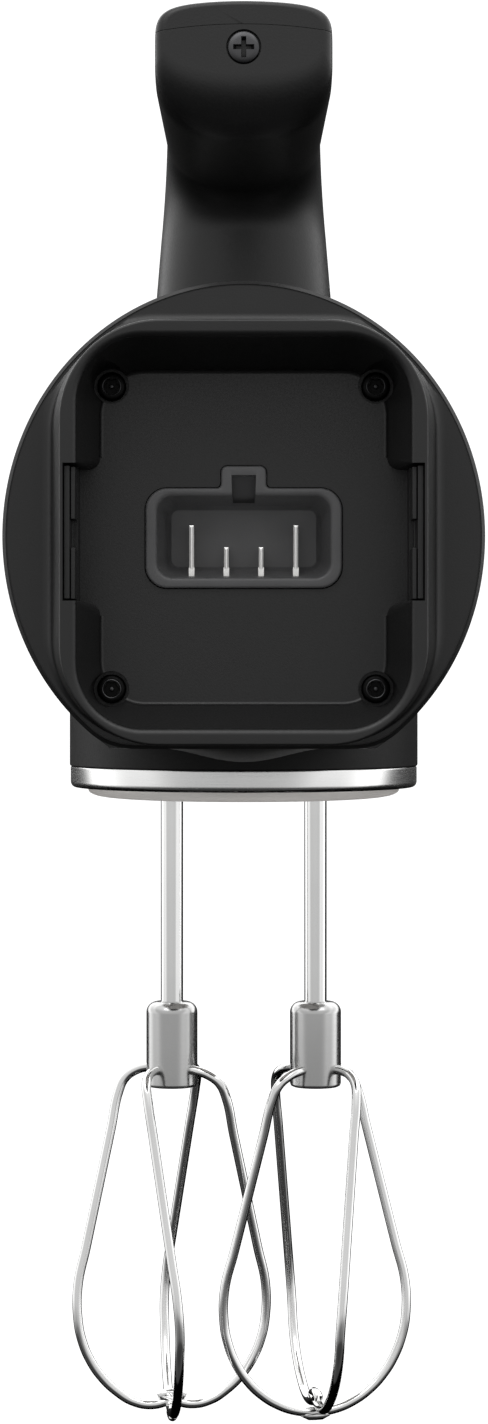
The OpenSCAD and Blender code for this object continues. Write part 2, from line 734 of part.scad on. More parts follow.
module right_wire_loop_b() wire_loop(1, right_turn, cage_z + 0.6, 2.2);

// ---- Ejector and controls ----

module eject_button() color([0.45, 0.45, 0.46]) {
    disc_z(88, 110.5, 6, [0, button_y]);
    disc_z(88, 90, 7.2, [0, button_y]);
}

module ejector_rod() color([0.75, 0.75, 0.72]) disc_z(yoke_z + yoke_t, 88, 2.5, [0, button_y]);

module ejector_yoke() color([0.75, 0.75, 0.72]) {
    plan(yoke_z, yoke_z + yoke_t) {
        translate([-19, beater_y - 4]) square([38, 8]);
        translate([-5, beater_y]) square([10, 18]);
    }
    for (s = sides) disc_z(-11.5, yoke_z + 1, 2.2, [s * beater_x, beater_y]);
}

module eject_spring() color([0.7, 0.7, 0.7]) {
    turns = 5;
    wire_r = 0.35;
    low = box_high + lid_t + wire_r + 0.05;
    rise = yoke_z - wire_r - 0.05 - low;
    bar([for (a = [0:24:360 * turns]) [3 * cos(a), 110 + 3 * sin(a), low + rise * a / (360 * turns)]],
        wire_r, [0, 0, 1], 6);
}

module power_button() color([0.5, 0.5, 0.51]) {
    disc_z(96.3, 107.4, 5, [0, power_y]);
    disc_z(100.6, 102, 6.6, [0, power_y]);
}

module speed_rocker() color([0.45, 0.45, 0.46]) {
    block([-5, rocker_y - 9.8, 100], [5, rocker_y + 9.8, 107.4]);
    for (y = [rocker_y - 7, rocker_y + 7]) block([-1.5, y - 1.5, 95.8], [1.5, y + 1.5, 101]);
    translate([-7.6, rocker_y, rocker_z]) rotate([0, 90, 0]) cylinder(h = 15.2, r = 1);
}

rear_cover();
drum_shell();
nose_cap();
base_skirt();
base_band();
base_plate();
base_screws();
handle_shell();
handle_top_cover();
handle_end_screw();
connector_housing();
power_blades();
signal_blades();
latch_strike_left();
latch_strike_right();
bay_screws();
gearbox_frame();
gearbox_lid();
gearbox_screws();
upper_spindle_bushes();
lower_spindle_bushes();
spindle_seals();
motor_can();
motor_end_cap();
motor_mount_screws();
motor_magnets();
motor_bushes();
carbon_brushes();
driver_board();
power_leads();
control_board();
control_harness();
rotor_shaft();
rotor_core();
rotor_windings();
commutator();
cooling_fan();
drive_worm();
left_spindle();
left_drive_wheel();
left_spindle_clip();
right_spindle();
right_drive_wheel();
right_spindle_clip();
left_beater_stem();
left_beater_ferrule();
left_wire_loop_a();
left_wire_loop_b();
right_beater_stem();
right_beater_ferrule();
right_wire_loop_a();
right_wire_loop_b();
eject_button();
ejector_rod();
ejector_yoke();
eject_spring();
power_button();
speed_rocker();
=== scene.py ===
# %% [markdown]
# # A cordless hand mixer, seen from its battery bay
# The CAD frame already holds every part at its real size and place. Here the parts that show
# are modelled again with rounded edges, fillets and real surfaces, and every part gets a
# finish. Lengths in the cells are in millimetres, and one helper turns them into metres.

# %% Load the frame
import json
import math

import bmesh
import bpy
import numpy as np
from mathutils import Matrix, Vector


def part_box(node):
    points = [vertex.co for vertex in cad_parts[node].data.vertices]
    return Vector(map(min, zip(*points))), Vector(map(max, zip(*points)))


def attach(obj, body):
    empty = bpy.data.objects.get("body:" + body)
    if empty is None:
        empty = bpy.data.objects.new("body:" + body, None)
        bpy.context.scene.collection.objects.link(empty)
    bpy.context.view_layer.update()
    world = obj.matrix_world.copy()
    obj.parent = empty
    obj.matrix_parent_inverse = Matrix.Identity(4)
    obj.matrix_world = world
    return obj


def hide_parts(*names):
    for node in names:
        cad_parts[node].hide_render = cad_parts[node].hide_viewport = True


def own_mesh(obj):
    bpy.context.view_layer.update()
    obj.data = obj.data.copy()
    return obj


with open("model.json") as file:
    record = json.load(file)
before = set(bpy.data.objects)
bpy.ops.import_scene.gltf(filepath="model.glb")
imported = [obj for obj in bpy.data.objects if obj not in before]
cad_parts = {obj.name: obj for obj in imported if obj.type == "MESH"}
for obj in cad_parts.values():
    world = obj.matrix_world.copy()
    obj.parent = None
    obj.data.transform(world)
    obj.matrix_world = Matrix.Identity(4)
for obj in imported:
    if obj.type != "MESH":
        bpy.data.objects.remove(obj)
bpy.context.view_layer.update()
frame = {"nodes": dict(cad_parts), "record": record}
MM = 0.001


def span(node):
    """Lowest and highest corner of a CAD node, in millimetres."""
    low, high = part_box(node)
    return low / MM, high / MM


def deselect():
    """Leaves nothing selected, so that the next operator works on the new piece alone."""
    bpy.ops.object.select_all(action="DESELECT")


def select_only(piece):
    """Makes the piece the only selected one and the active one."""
    deselect()
    piece.select_set(True)
    bpy.context.view_layer.objects.active = piece


def apply_place():
    """Turns the selected piece's place, rotation and scale into its mesh."""
    bpy.ops.object.transform_apply(location=True, rotation=True, scale=True)


deselect()

# %% [markdown]
# ## Camera
# The mixer is looked at from straight behind, a little below its motor's axis, through a long
# lens. The camera stays level, and a small vertical shift frames the beaters, because a tilted
# camera would make the upright lines lean together.

# %% Camera
REAR_DISTANCE = 0.66
EYE_HEIGHT = -0.0288
FOCAL_LENGTH = 85.96
SHIFT_SIDE, SHIFT_UP = 0.0002, -0.0225
NEAREST = 0.01

bpy.ops.object.camera_add(location=(0, -REAR_DISTANCE, EYE_HEIGHT), rotation=(math.pi / 2, 0, 0))
camera = bpy.context.object
camera.data.lens = FOCAL_LENGTH
camera.data.shift_x = SHIFT_SIDE
camera.data.shift_y = SHIFT_UP
camera.data.clip_start = NEAREST
bpy.context.scene.camera = camera
print("camera at", tuple(round(v, 4) for v in camera.location))

# %% [markdown]
# ## Studio
# Polished wire, satin metal and black plastic with some gloss all show what stands round them,
# so the room does most of the work. It is a plain tent: grey behind the camera, bright at both
# sides and dark right behind the mixer, which gives round metal a grey middle, two white
# streaks and a dark edge. Its foot is dark, and the dark begins sooner for low directions, so
# the plastic fades to black towards its underside. The camera itself sees plain white. Two weak
# softboxes from above only fill.

# %% Tent: its tones
TENT_TURN = math.radians(7.75)  # the grey wall is centred a little to the left of the camera
ROUND_WALL = [  # share of the way from behind the camera to behind the mixer, and brightness
    (0.0, 0.75), (0.14, 0.71), (0.2, 0.85), (0.26, 1.2), (0.48, 1.1), (0.6, 1.7),
    (0.68, 2.0), (0.765, 2.0), (0.795, 0.05), (0.93, 0.03), (1.0, 0.02),
]
HEIGHTS = [  # share of the way from straight below to straight above, and brightness
    (0.0, 0.02), (0.28, 0.05), (0.37, 0.3), (0.43, 0.75), (0.48, 1.0), (0.7, 1.1),
    (0.85, 1.7), (1.0, 2.0),
]
BRIGHTEST = 2.0
DARK_LOW = 1.0  # how much further round a low direction counts, and a high one less
SKY_ON_MATT = 0.7  # the share of the tent's light that matt surfaces take
WHITE_BEHIND = 1.2  # the strength of the white that the camera sees
SOFTBOXES = [((-0.35, -0.75, 1.0), 3), ((0.45, -0.65, 1.0), 2)]  # place, and power in watts
SOFTBOX_WIDTH = 0.7
SOFTBOX_AIM = (0, 0.05, 0)
FLOOR_WIDTH, FLOOR_Z = 2.4, -0.45


def stops(nodes, links, driver, table):
    """A grey ramp over a value from -1 to 1; a stop holds its brightness over BRIGHTEST."""
    spread = nodes.new("ShaderNodeMapRange")
    spread.inputs["From Min"].default_value = -1
    links.new(driver, spread.inputs["Value"])
    ramp = nodes.new("ShaderNodeValToRGB")
    while len(ramp.color_ramp.elements) < len(table):
        ramp.color_ramp.elements.new(0.5)
    for stop, (place, value) in zip(ramp.color_ramp.elements, table):
        stop.position = place
        tone = value / BRIGHTEST
        stop.color = (tone, tone, tone, 1)
    links.new(spread.outputs[0], ramp.inputs[0])
    return ramp.outputs[0]


# %% Tent, lamps and floor
# One ramp round the wall times one over its height, and white for the camera.
world = bpy.data.worlds.new("tent")
bpy.context.scene.world = world
world.use_nodes = True
nodes, links = world.node_tree.nodes, world.node_tree.links
nodes.clear()
way = nodes.new("ShaderNodeTexCoord").outputs["Generated"]
forward = nodes.new("ShaderNodeVectorMath")
forward.operation = "DOT_PRODUCT"
forward.inputs[1].default_value = (math.sin(TENT_TURN), math.cos(TENT_TURN), -DARK_LOW)
links.new(way, forward.inputs[0])
split = nodes.new("ShaderNodeSeparateXYZ")
links.new(way, split.inputs[0])
shade = nodes.new("ShaderNodeMath")
shade.operation = "MULTIPLY"
links.new(stops(nodes, links, forward.outputs["Value"], ROUND_WALL), shade.inputs[0])
links.new(stops(nodes, links, split.outputs["Z"], HEIGHTS), shade.inputs[1])
path = nodes.new("ShaderNodeLightPath")
share = nodes.new("ShaderNodeMapRange")
share.inputs["To Min"].default_value = BRIGHTEST ** 2
share.inputs["To Max"].default_value = BRIGHTEST ** 2 * SKY_ON_MATT
links.new(path.outputs["Is Diffuse Ray"], share.inputs["Value"])
tent = nodes.new("ShaderNodeBackground")
links.new(shade.outputs[0], tent.inputs["Color"])
links.new(share.outputs[0], tent.inputs["Strength"])
white = nodes.new("ShaderNodeBackground")
white.inputs["Color"].default_value = (1, 1, 1, 1)
white.inputs["Strength"].default_value = WHITE_BEHIND
mix = nodes.new("ShaderNodeMixShader")
links.new(path.outputs["Is Camera Ray"], mix.inputs[0])
links.new(tent.outputs[0], mix.inputs[1])
links.new(white.outputs[0], mix.inputs[2])
links.new(mix.outputs[0], nodes.new("ShaderNodeOutputWorld").inputs[0])

for place, power in SOFTBOXES:
    bpy.ops.object.light_add(type="AREA", location=place)
    lamp = bpy.context.object
    lamp.data.energy = power
    lamp.data.size = SOFTBOX_WIDTH
    towards = Vector(SOFTBOX_AIM) - Vector(place)
    lamp.rotation_euler = towards.to_track_quat("-Z", "Y").to_euler()
bpy.ops.mesh.primitive_plane_add(size=FLOOR_WIDTH, location=(0, 0, FLOOR_Z))
floor = bpy.context.object
floor.name = "floor"
floor.visible_glossy = False  # the metals reflect the tent's dark foot instead
bpy.context.scene.view_settings.view_transform = "Standard"
print("studio ready")

# %% [markdown]
# ## Finishes
# Each finish is a Principled shader with noise on the piece's own coordinates. Moulded plastic
# has a fine grain of a fraction of a millimetre, which breaks up the gloss. Metals are told
# apart by their roughness: mirror-like wire, satin caps, brushed band.

# %% What all finishes share
finishes = {}
NOISE_LOW, NOISE_HIGH = 0.3, 0.7  # the noise's usual least and most


def noise(nodes, links, scale, detail=3.0, stretch=(1, 1, 1)):
    """Noise on object coordinates; stretch squeezes it along an axis. Scale is in waves a metre."""
    where = nodes.new("ShaderNodeTexCoord")
    mapping = nodes.new("ShaderNodeMapping")
    mapping.inputs["Scale"].default_value = stretch
    pattern = nodes.new("ShaderNodeTexNoise")
    pattern.inputs["Scale"].default_value = scale
    pattern.inputs["Detail"].default_value = detail
    links.new(where.outputs["Object"], mapping.inputs[0])
    links.new(mapping.outputs[0], pattern.inputs["Vector"])
    return pattern.outputs["Fac"]


def between(nodes, links, driver, low, high):
    """A number that runs from low to high as the noise goes from its usual least to its most."""
    spread = nodes.new("ShaderNodeMapRange")
    spread.inputs["From Min"].default_value = NOISE_LOW
    spread.inputs["From Max"].default_value = NOISE_HIGH
    spread.inputs["To Min"].default_value = low
    spread.inputs["To Max"].default_value = high
    links.new(driver, spread.inputs["Value"])
    return spread.outputs[0]


def two_tone(nodes, links, driver, dark, light):
    """A colour between two tones, led by the noise."""
    mix = nodes.new("ShaderNodeMix")
    mix.data_type = "RGBA"
    mix.inputs["A"].default_value = (*dark, 1)
    mix.inputs["B"].default_value = (*light, 1)
    links.new(between(nodes, links, driver, 0, 1), mix.inputs["Factor"])
    return mix.outputs["Result"]


def coat(slot, tones, clouds, marks, roughness, depth, metallic=0.0, specular=0.5):
    """A finish whose tone drifts with broad clouds, and whose gloss and relief follow its marks.
    The depth of the relief is in millimetres."""
    finish = finishes[slot] = bpy.data.materials.new(slot)
    finish.use_nodes = True
    nodes, links = finish.node_tree.nodes, finish.node_tree.links
    shader = nodes["Principled BSDF"]
    shader.inputs["Metallic"].default_value = metallic
    shader.inputs["Specular IOR Level"].default_value = specular
    cloud, pattern = noise(nodes, links, clouds), noise(nodes, links, *marks)
    links.new(two_tone(nodes, links, cloud, *tones), shader.inputs["Base Color"])
    links.new(between(nodes, links, pattern, *roughness), shader.inputs["Roughness"])
    bump = nodes.new("ShaderNodeBump")
    bump.inputs["Strength"].default_value = 1.0
    bump.inputs["Distance"].default_value = depth * MM
    links.new(pattern, bump.inputs["Height"])
    links.new(bump.outputs[0], shader.inputs["Normal"])


# %% [markdown]
# ### Plastics
# The casing is so deep a black that its greys come from its gloss alone. The grip's grain is a
# little coarser and the base block is duller. The connector and the buttons are a dark grey.
# Inside, the gears and the gearbox are natural nylon. One function serves them all, because
# only tone, gloss and grain differ.

# %% Plastics
DEEP_BLACK = (0.0045, 0.0045, 0.0046)
PLASTIC_CLOUDS = 60  # waves a metre of the slow change in tone


def moulded(slot, tone, roughness, grain=2600, depth=0.02, specular=0.25):
    """Moulded plastic: tone is the middle of its colour, and grain is in waves a metre."""
    coat(slot, [[k * c for c in tone] for k in (0.88, 1.12)], PLASTIC_CLOUDS, (grain, 2),
         (roughness - 0.05, roughness + 0.05), depth, specular=specular)


moulded("black_plastic", DEEP_BLACK, 0.4, specular=0.5)
moulded("grip_plastic", DEEP_BLACK, 0.4, grain=2000, specular=0.5)
moulded("base_plastic", (0.003, 0.003, 0.003), 0.5, specular=0.2)
moulded("grey_plastic", (0.085, 0.085, 0.087), 0.45, specular=0.5)
moulded("inner_plastic", (0.55, 0.55, 0.5), 0.5, grain=1500)
moulded("gear_plastic", (0.75, 0.72, 0.6), 0.42, grain=1500)
moulded("seal_rubber", (0.012, 0.012, 0.012), 0.65, grain=1800)
moulded("circuit_board", (0.01, 0.07, 0.03), 0.3, grain=900, depth=0.01)
moulded("lead_insulation", (0.22, 0.012, 0.012), 0.4, grain=1200, depth=0.01)
moulded("magnet", (0.035, 0.035, 0.038), 0.6, grain=1400, depth=0.04)
print(len(finishes), "plastics")

# %% [markdown]
# ### Metals
# The band is satin aluminium, brushed along its length, and the stepped plate under it has a
# warmer and duller silver coat. The stems and the wire are polished stainless steel with faint
# drawing marks. The caps are finely turned, so their marks run round. Screws are plated or
# blackened, blades are bright nickel, and the motor's parts are copper and bronze.

# %% Metals
METAL_CLOUDS = 45  # waves a metre of the slow change in tone
SMOOTHEST = 0.02  # the least roughness that any mark reaches


def metal(slot, tone, roughness, scale, stretch=(1, 1, 1), depth=0.001, spread=0.04,
          metallic=1.0):
    """Metal whose marks are noise, drawn out by stretch along the way it was worked."""
    coat(slot, [[min(k * c, 1) for c in tone] for k in (0.95, 1.03)], METAL_CLOUDS,
         (scale, 4, stretch), (max(roughness - spread, SMOOTHEST), roughness + spread), depth,
         metallic=metallic)


ALONG_PLAN = (0.2, 0.2, 6)
ALONG_Z = (6, 6, 0.15)
ROUND_Z = (0.5, 0.5, 14)
metal("satin_silver", (0.74, 0.74, 0.735), 0.26, 700, ALONG_PLAN, 0.0003, 0.02)
metal("warm_silver", (0.85, 0.82, 0.79), 0.5, 700, ALONG_PLAN, 0.0003, 0.02, metallic=0.4)
metal("polished_steel", (0.76, 0.76, 0.755), 0.09, 900, ALONG_Z, 0.0003, 0.02)
metal("satin_steel", (0.52, 0.52, 0.516), 0.22, 500, ROUND_Z, 0.0006, 0.03)
# Its lighter grey also goes on the bay screws' rims and pins as a painted highlight.
metal("dark_screw", (0.085, 0.085, 0.088), 0.4, 1200)
metal("black_screw", (0.012, 0.012, 0.012), 0.45, 1200)
metal("zinc_screw", (0.6, 0.6, 0.62), 0.35, 900)
metal("nickel_contact", (1.0, 0.99, 0.96), 0.35, 900, ALONG_Z, metallic=0.5)
metal("bronze", (0.6, 0.4, 0.2), 0.45, 1200, depth=0.01)
metal("copper", (0.7, 0.33, 0.17), 0.35, 600, depth=0.02)
print(len(finishes), "finishes")

# %% [markdown]
# ## Helpers for modelling
# Most pieces of the mixer are skins: an outline that changes a little as it travels. A circle
# is added, each of its points is put on the first outline, and its edge is extruded again and
# again, each new ring being put on the next outline. Round parts are the same thing with
# circles of changing size, as on a lathe.

# %% Skins and turned parts
def full_turn(count):
    """Angles of a full turn in equal steps."""
    return [2 * math.pi * i / count for i in range(count)]


def quarter_turn(steps=6):
    """Angles of a quarter turn, with both of its ends."""
    return [math.pi / 2 * i / steps for i in range(steps + 1)]


def edit_edges(piece):
    """Opens the piece for editing, with none of its edges selected."""
    select_only(piece)
    bpy.ops.object.mode_set(mode="EDIT")
    bpy.ops.mesh.select_mode(type="EDGE")
    bpy.ops.mesh.select_all(action="DESELECT")


def end_edit():
    """Turns all faces outwards and closes the piece."""
    bpy.ops.mesh.select_all(action="SELECT")
    bpy.ops.mesh.normals_make_consistent(inside=False)
    bpy.ops.object.mode_set(mode="OBJECT")


def lay(piece, ring):
    """Puts the selected points, which know their place in the ring, on the outline."""
    mesh = bmesh.from_edit_mesh(piece.data)
    place = mesh.verts.layers.int["place"]
    for v in mesh.verts:
        if v.select:
            v.co = Vector(ring[v[place]]) * MM
    bmesh.update_edit_mesh(piece.data)


def skin(name, rings, closed=True):
    """A piece pulled through its rings, with a face on its first and last ring if it is closed."""
    deselect()
    bpy.ops.mesh.primitive_circle_add(vertices=len(rings[0]), radius=MM, enter_editmode=True,
                                      fill_type="NGON" if closed else "NOTHING")
    piece = bpy.context.object
    piece.name = piece.data.name = name
    bpy.ops.mesh.select_mode(type="EDGE")
    mesh = bmesh.from_edit_mesh(piece.data)
    place = mesh.verts.layers.int.new("place")
    for i, v in enumerate(mesh.verts):
        v[place] = i
    lay(piece, rings[0])
    for ring in rings[1:]:
        bpy.ops.mesh.extrude_edges_move()
        lay(piece, ring)
    if closed:
        bpy.ops.mesh.edge_face_add()
    end_edit()
    piece.data.attributes.remove(piece.data.attributes["place"])
    return piece


def turned(name, profile, at=(0, 0), axis="z", sides=96):
    """A piece turned round an axis through at; the profile is [radius, distance along the axis]."""
    rings = []
    for radius, along in profile:
        flat = [(at[0] + radius * math.cos(a), at[1] + radius * math.sin(a))
                for a in full_turn(sides)]
        rings.append([(u, along, v) if axis == "y" else (u, v, along) for u, v in flat])
    return skin(name, rings)


def rounding(radius, steps=6):
    """Points of a rounded edge as (inset, depth): from the face, where depth is 0, to the side."""
    return [(radius * (1 - math.sin(a)), radius * (1 - math.cos(a))) for a in quarter_turn(steps)]


def block(name, low, high, edge=0.0, steps=3):
    """A box between two corners, with its edges bevelled."""
    deselect()
    bpy.ops.mesh.primitive_cube_add(size=1)
    piece = bpy.context.object
    piece.name = piece.data.name = name
    low, high = Vector(low) * MM, Vector(high) * MM
    piece.location = (low + high) / 2
    piece.scale = high - low
    apply_place()
    if edge:
        bpy.ops.object.mode_set(mode="EDIT")
        bpy.ops.mesh.select_all(action="SELECT")
        bpy.ops.mesh.bevel(offset=edge * MM, segments=steps, affect="EDGES")
        bpy.ops.object.mode_set(mode="OBJECT")
    return piece


print("skins are ready")

# %% Cutting, joining, softening and finishing
SHARP = 30  # an edge is sharp from this angle between its faces, in degrees


def cut(piece, *tools, how="DIFFERENCE"):
    """Cuts each tool out of the piece, or with INTERSECT keeps only what they share."""
    for tool in tools:
        change = piece.modifiers.new("cut", "BOOLEAN")
        change.operation = how
        change.solver = "EXACT"
        change.object = tool
        bpy.context.view_layer.objects.active = piece
        bpy.ops.object.modifier_apply(modifier=change.name)
        bpy.data.objects.remove(tool)
    return piece


def join(name, pieces):
    """Several loose solids as one piece."""
    deselect()
    for piece in pieces:
        piece.select_set(True)
    bpy.context.view_layer.objects.active = pieces[0]
    bpy.ops.object.join()
    pieces[0].name = pieces[0].data.name = name
    return pieces[0]


def soften(piece, width, chosen):
    """Bevels the sharp edges whose two ends are both chosen, by their place in millimetres."""
    edit_edges(piece)
    mesh = bmesh.from_edit_mesh(piece.data)
    mesh.normal_update()
    count = 0
    for edge in mesh.edges:
        if len(edge.link_faces) != 2 or math.degrees(edge.calc_face_angle()) < SHARP:
            continue
        if all(chosen(*(v.co / MM)) for v in edge.verts):
            edge.select = True
            count += 1
    bmesh.update_edit_mesh(piece.data)
    bpy.ops.mesh.bevel(offset=width * MM, segments=2, affect="EDGES", clamp_overlap=True)
    bpy.ops.object.mode_set(mode="OBJECT")
    print(f"  {piece.name}: {count} edges softened by {width} mm")


def fit(piece, slot, *nodes, body="mixer_body", angle=32, finish=None):
    """Smooths the piece, gives it a finish, its slot's own if no other is asked for, and puts it
    on its body in place of its CAD nodes."""
    select_only(piece)
    bpy.ops.object.shade_smooth_by_angle(angle=math.radians(angle))
    change = piece.modifiers.new("even_shading", "WEIGHTED_NORMAL")
    change.keep_sharp = True
    bpy.ops.object.modifier_apply(modifier=change.name)
    piece.data.materials.clear()
    piece.data.materials.append(finishes[finish or slot])
    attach(piece, body)
    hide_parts(*nodes)
    print(f"  {piece.name}: {len(piece.data.polygons)} faces")


# %% [markdown]
# ## Outlines seen from behind
# The rear cover mixes an oval and rounded rectangles. To pull one skin through both, their
# points must match, so each outline is measured from the centre outwards at the same angles.
# A shape is a function that says how far inside or outside a point lies. That also gives
# every inset for a rounded edge.

# %% Shapes by distance
AROUND = np.radians(np.arange(0, 360, 1.0))
FARTHEST = 80.0  # no outline reaches further from the centre
HALVINGS = 32
CORNER = 3  # how widely the oval's curve and its flat blend
TINY = 1e-9  # keeps the centre of the oval from dividing by zero


def box_shape(half, top, bottom, r):
    """Rounded rectangle: negative inside, positive outside."""
    def distance(x, z):
        u = np.abs(x) - (half - r)
        v = np.abs(z - (top + bottom) / 2) - ((top - bottom) / 2 - r)
        return np.hypot(np.maximum(u, 0), np.maximum(v, 0)) + np.minimum(np.maximum(u, v), 0) - r
    return distance


def oval_shape(a, b, flat):
    """Oval with its lower end cut off level and the two corners rounded."""
    def distance(x, z):
        k = np.hypot(x / a, z / b)
        slope = np.hypot(x / a ** 2, z / b ** 2) + TINY
        curve, level = (k - 1) * k / slope, -flat - z
        blend = np.maximum(CORNER - np.abs(curve - level), 0)
        return np.maximum(curve, level) + blend ** 2 / (4 * CORNER)
    return distance


def outline(shape, inset, y, turns=AROUND):
    """Ring of points at distance y, on the line that lies inset inside the shape."""
    near, far = np.zeros_like(turns), np.full_like(turns, FARTHEST)
    for _ in range(HALVINGS):
        r = (near + far) / 2
        inside = shape(r * np.cos(turns), r * np.sin(turns)) < -inset
        near, far = np.where(inside, r, near), np.where(inside, far, r)
    return [(float(d * math.cos(a)), y, float(d * math.sin(a))) for d, a in zip(near, turns)]


print(len(AROUND), "points round each outline")

# %% [markdown]
# ## Rear cover
# The rear cover is one moulding: an oval plate with a chamfer, a frame that stands out from it
# on a hollow fillet, a flat rim, and inside the rim the tapering bay with its floor. It is
# pulled as one skin from its front face outwards over the edge and down into the bay. The
# corner screw seats, the latch windows and the hole for the connector are then cut out.

# %% Sizes of the rear cover
cover_low, cover_high = span("rear_cover")
blades_low, blades_high = span("power_blades")
PLATE_Y = 20.0
FLOOR_Y = 23.5
PLATE_EDGE = 0.7
FLAT = -cover_low.z
plate = oval_shape(cover_high.x, cover_high.z, FLAT)
oval = oval_shape(cover_high.x, cover_high.z, FARTHEST)  # the plate's oval without its flat
# Half width, top, bottom and corner radius:
frame_head = box_shape(35.9, 41.3, -41.6, 19.5)
MOUTH = (32.6, 38.1, -38.4, 13)
BAY_FLOOR = (28.8, 33.3, -33.8, 9)
FOOT_FILLET = 2.3
RIM_EDGE = 0.5
MOUTH_EDGE = 1.1
print("plate", round(cover_high.x * 2, 1), "x", round(cover_high.z + FLAT, 1), "mm")


def bay_wall(y):
    """The bay's outline at distance y: its walls taper from the mouth to the floor."""
    share = y / FLOOR_Y
    return box_shape(*[m + (f - m) * share for m, f in zip(MOUTH, BAY_FLOOR)])


def frame_foot(bend):
    """The frame's outline on its foot fillet, kept inside the plate's oval. The fillet bends
    from 0, flat on the plate, to a quarter turn, upright at the frame."""
    upright = math.sin(bend)
    out = FOOT_FILLET * (1 - upright)
    free = box_shape(38.1 + out, 42.3 + out, -FLAT + 0.9 + 0.3 * upright, 21 + out)
    return lambda x, z: np.maximum(free(x, z), oval(x, z) + PLATE_EDGE + 0.6 + 0.2 * upright)


# %% Rear cover: the skin
def rear_rings():
    """Rings from the cover's hidden back, over the plate and the frame, down to the bay's floor."""
    back = box_shape(33, 37.5, -38, 12)
    rings = [outline(back, 0, 27), outline(back, 0, 22.5)]
    rings += [outline(plate, 0.1, 22.5), outline(plate, 0, 22.4)]
    chamfer_and_groove = (
        (0, PLATE_EDGE), (PLATE_EDGE, 0), (PLATE_EDGE + 0.05, 0.45), (PLATE_EDGE + 0.3, 0.45),
        (PLATE_EDGE + 0.35, 0))
    rings += [outline(plate, inset, PLATE_Y + depth) for inset, depth in chamfer_and_groove]
    rings += [outline(frame_foot(a), 0, PLATE_Y - FOOT_FILLET * (1 - math.cos(a)))
              for a in quarter_turn()]
    rings += [outline(frame_head, inset, depth) for inset, depth in reversed(rounding(RIM_EDGE))]
    rings += [outline(bay_wall(depth), -inset, depth) for inset, depth in rounding(MOUTH_EDGE)]
    rings += [outline(bay_wall(y), 0, y) for y in (8, 15, FLOOR_Y - 0.8)]
    rings += [outline(bay_wall(FLOOR_Y - depth), inset, FLOOR_Y - depth)
              for inset, depth in ((0.1, 0.45), (0.3, 0.18), (0.7, 0.0))]
    return rings


cover = skin("rear_cover_moulding", rear_rings())
print("  faces", len(cover.data.polygons))

# %% [markdown]
# Each latch window goes through the side of the frame. Below it the bay's wall is cut back
# straight, and the cut's ends curl into the sloping wall, more and more towards the floor.

# %% Rear cover: the cuts
WINDOW = 13.4  # half the height of a latch window
STRAIGHT_WALL = 32.9
TAPER = 3.8  # how much the bay's side wall comes in on its way to the floor
SEAT_R = 3.6
screw_seats = [(s * 26.6, z) for s in (-1, 1) for z in (30.3, -30.6)]


def window_ring(side, y):
    """Half plan of a window cut at distance y, with curled ends."""
    wall = MOUTH[0] - TAPER * max(y, 0) / FLOOR_Y
    curl = 0.6 * (STRAIGHT_WALL - wall) + 0.05
    ends = [(wall + curl * (1 - math.cos(a)), WINDOW + curl * (1 - math.sin(a)))
            for a in quarter_turn()]
    upper = [(20, WINDOW + curl)] + ends + [(STRAIGHT_WALL, WINDOW)]
    return [(side * x, y, z) for x, z in upper + [(x, -z) for x, z in reversed(upper)]]


def on_seat(x, y, z):
    """Whether a point is on the edge of a screw seat."""
    return abs(y - FLOOR_Y) < 0.05 and any(
        abs(math.hypot(x - sx, z - sz) - SEAT_R) < 0.05 for sx, sz in screw_seats)


tools = []
for side in (-1, 1):
    tools.append(skin("window_cut", [window_ring(side, y) for y in (-1, 0, 6, 12, 18, FLOOR_Y)]))
    x = sorted((side * 32.8, side * 35.2))
    tools.append(block("latch_cut", (x[0], -1, -WINDOW), (x[1], 16, WINDOW)))
for seat in screw_seats:
    tools.append(turned("seat_cut", [(SEAT_R, 4), (SEAT_R, 26.4)], seat, "y"))
    tools.append(turned("screw_cut", [(1.6, 20), (1.6, 30)], seat, "y", 32))
cut(cover, *tools)
soften(cover, 0.25, on_seat)

# %% [markdown]
# ## Connector
# The connector is a grey housing with a socket, a tab on top with a keyway, and four blades.
# Its outline is a rounded rectangle joined to a narrow one. Taking the nearer of the two
# distances joins them, and a soft minimum rounds the inner corners where they meet.

# %% Connector housing
FACE_Y = 22.3
FACE_EDGE = 0.5
SOCKET_EDGE = 0.9
SOCKET_DEPTH = 8.4
KEYWAY_TOP, KEYWAY_LOW = 12.3, 7
GAP = 0.12  # between the housing and the bay's floor
# Half width, top, bottom and corner radius:
HOUSING = (19.75, 9.75, -10.35, 4.4)
TAB = (4.55, 14.2, 0, 1.3)
SOCKET_MOUTH = (17.3, 8.1, -8.1, 3)
SOCKET_TAPER = (2.1, 1.9, -1.8, 1)
SOCKET_FLOOR = (15.2, 6.2, -6.3, 2)
FINE = np.radians(np.arange(0, 360, 0.5))


def connector_shape(x, z):
    """The housing's rounded rectangle with its tab."""
    body = box_shape(*HOUSING)(x, z)
    tab = box_shape(*TAB)(x, z)
    blend = np.maximum(1.0 - np.abs(body - tab), 0)
    return np.minimum(body, tab) - blend ** 2 / 4


def fine_ring(shape, inset, y):
    """Outline with points close enough for the connector's small corners."""
    return outline(shape, inset, y, FINE)


def socket_wall(share):
    """The socket's outline at a share of its depth: it narrows towards its floor."""
    return box_shape(*[m - t * share for m, t in zip(SOCKET_MOUTH, SOCKET_TAPER)])


def keyway_ring(y, half, slope=0.0):
    """Section of the keyway in the tab, a little wider at the top."""
    wide = half + 0.15
    return [(wide, y, KEYWAY_TOP), (-wide, y, KEYWAY_TOP), (-half, y + slope, KEYWAY_LOW),
            (half, y + slope, KEYWAY_LOW)]


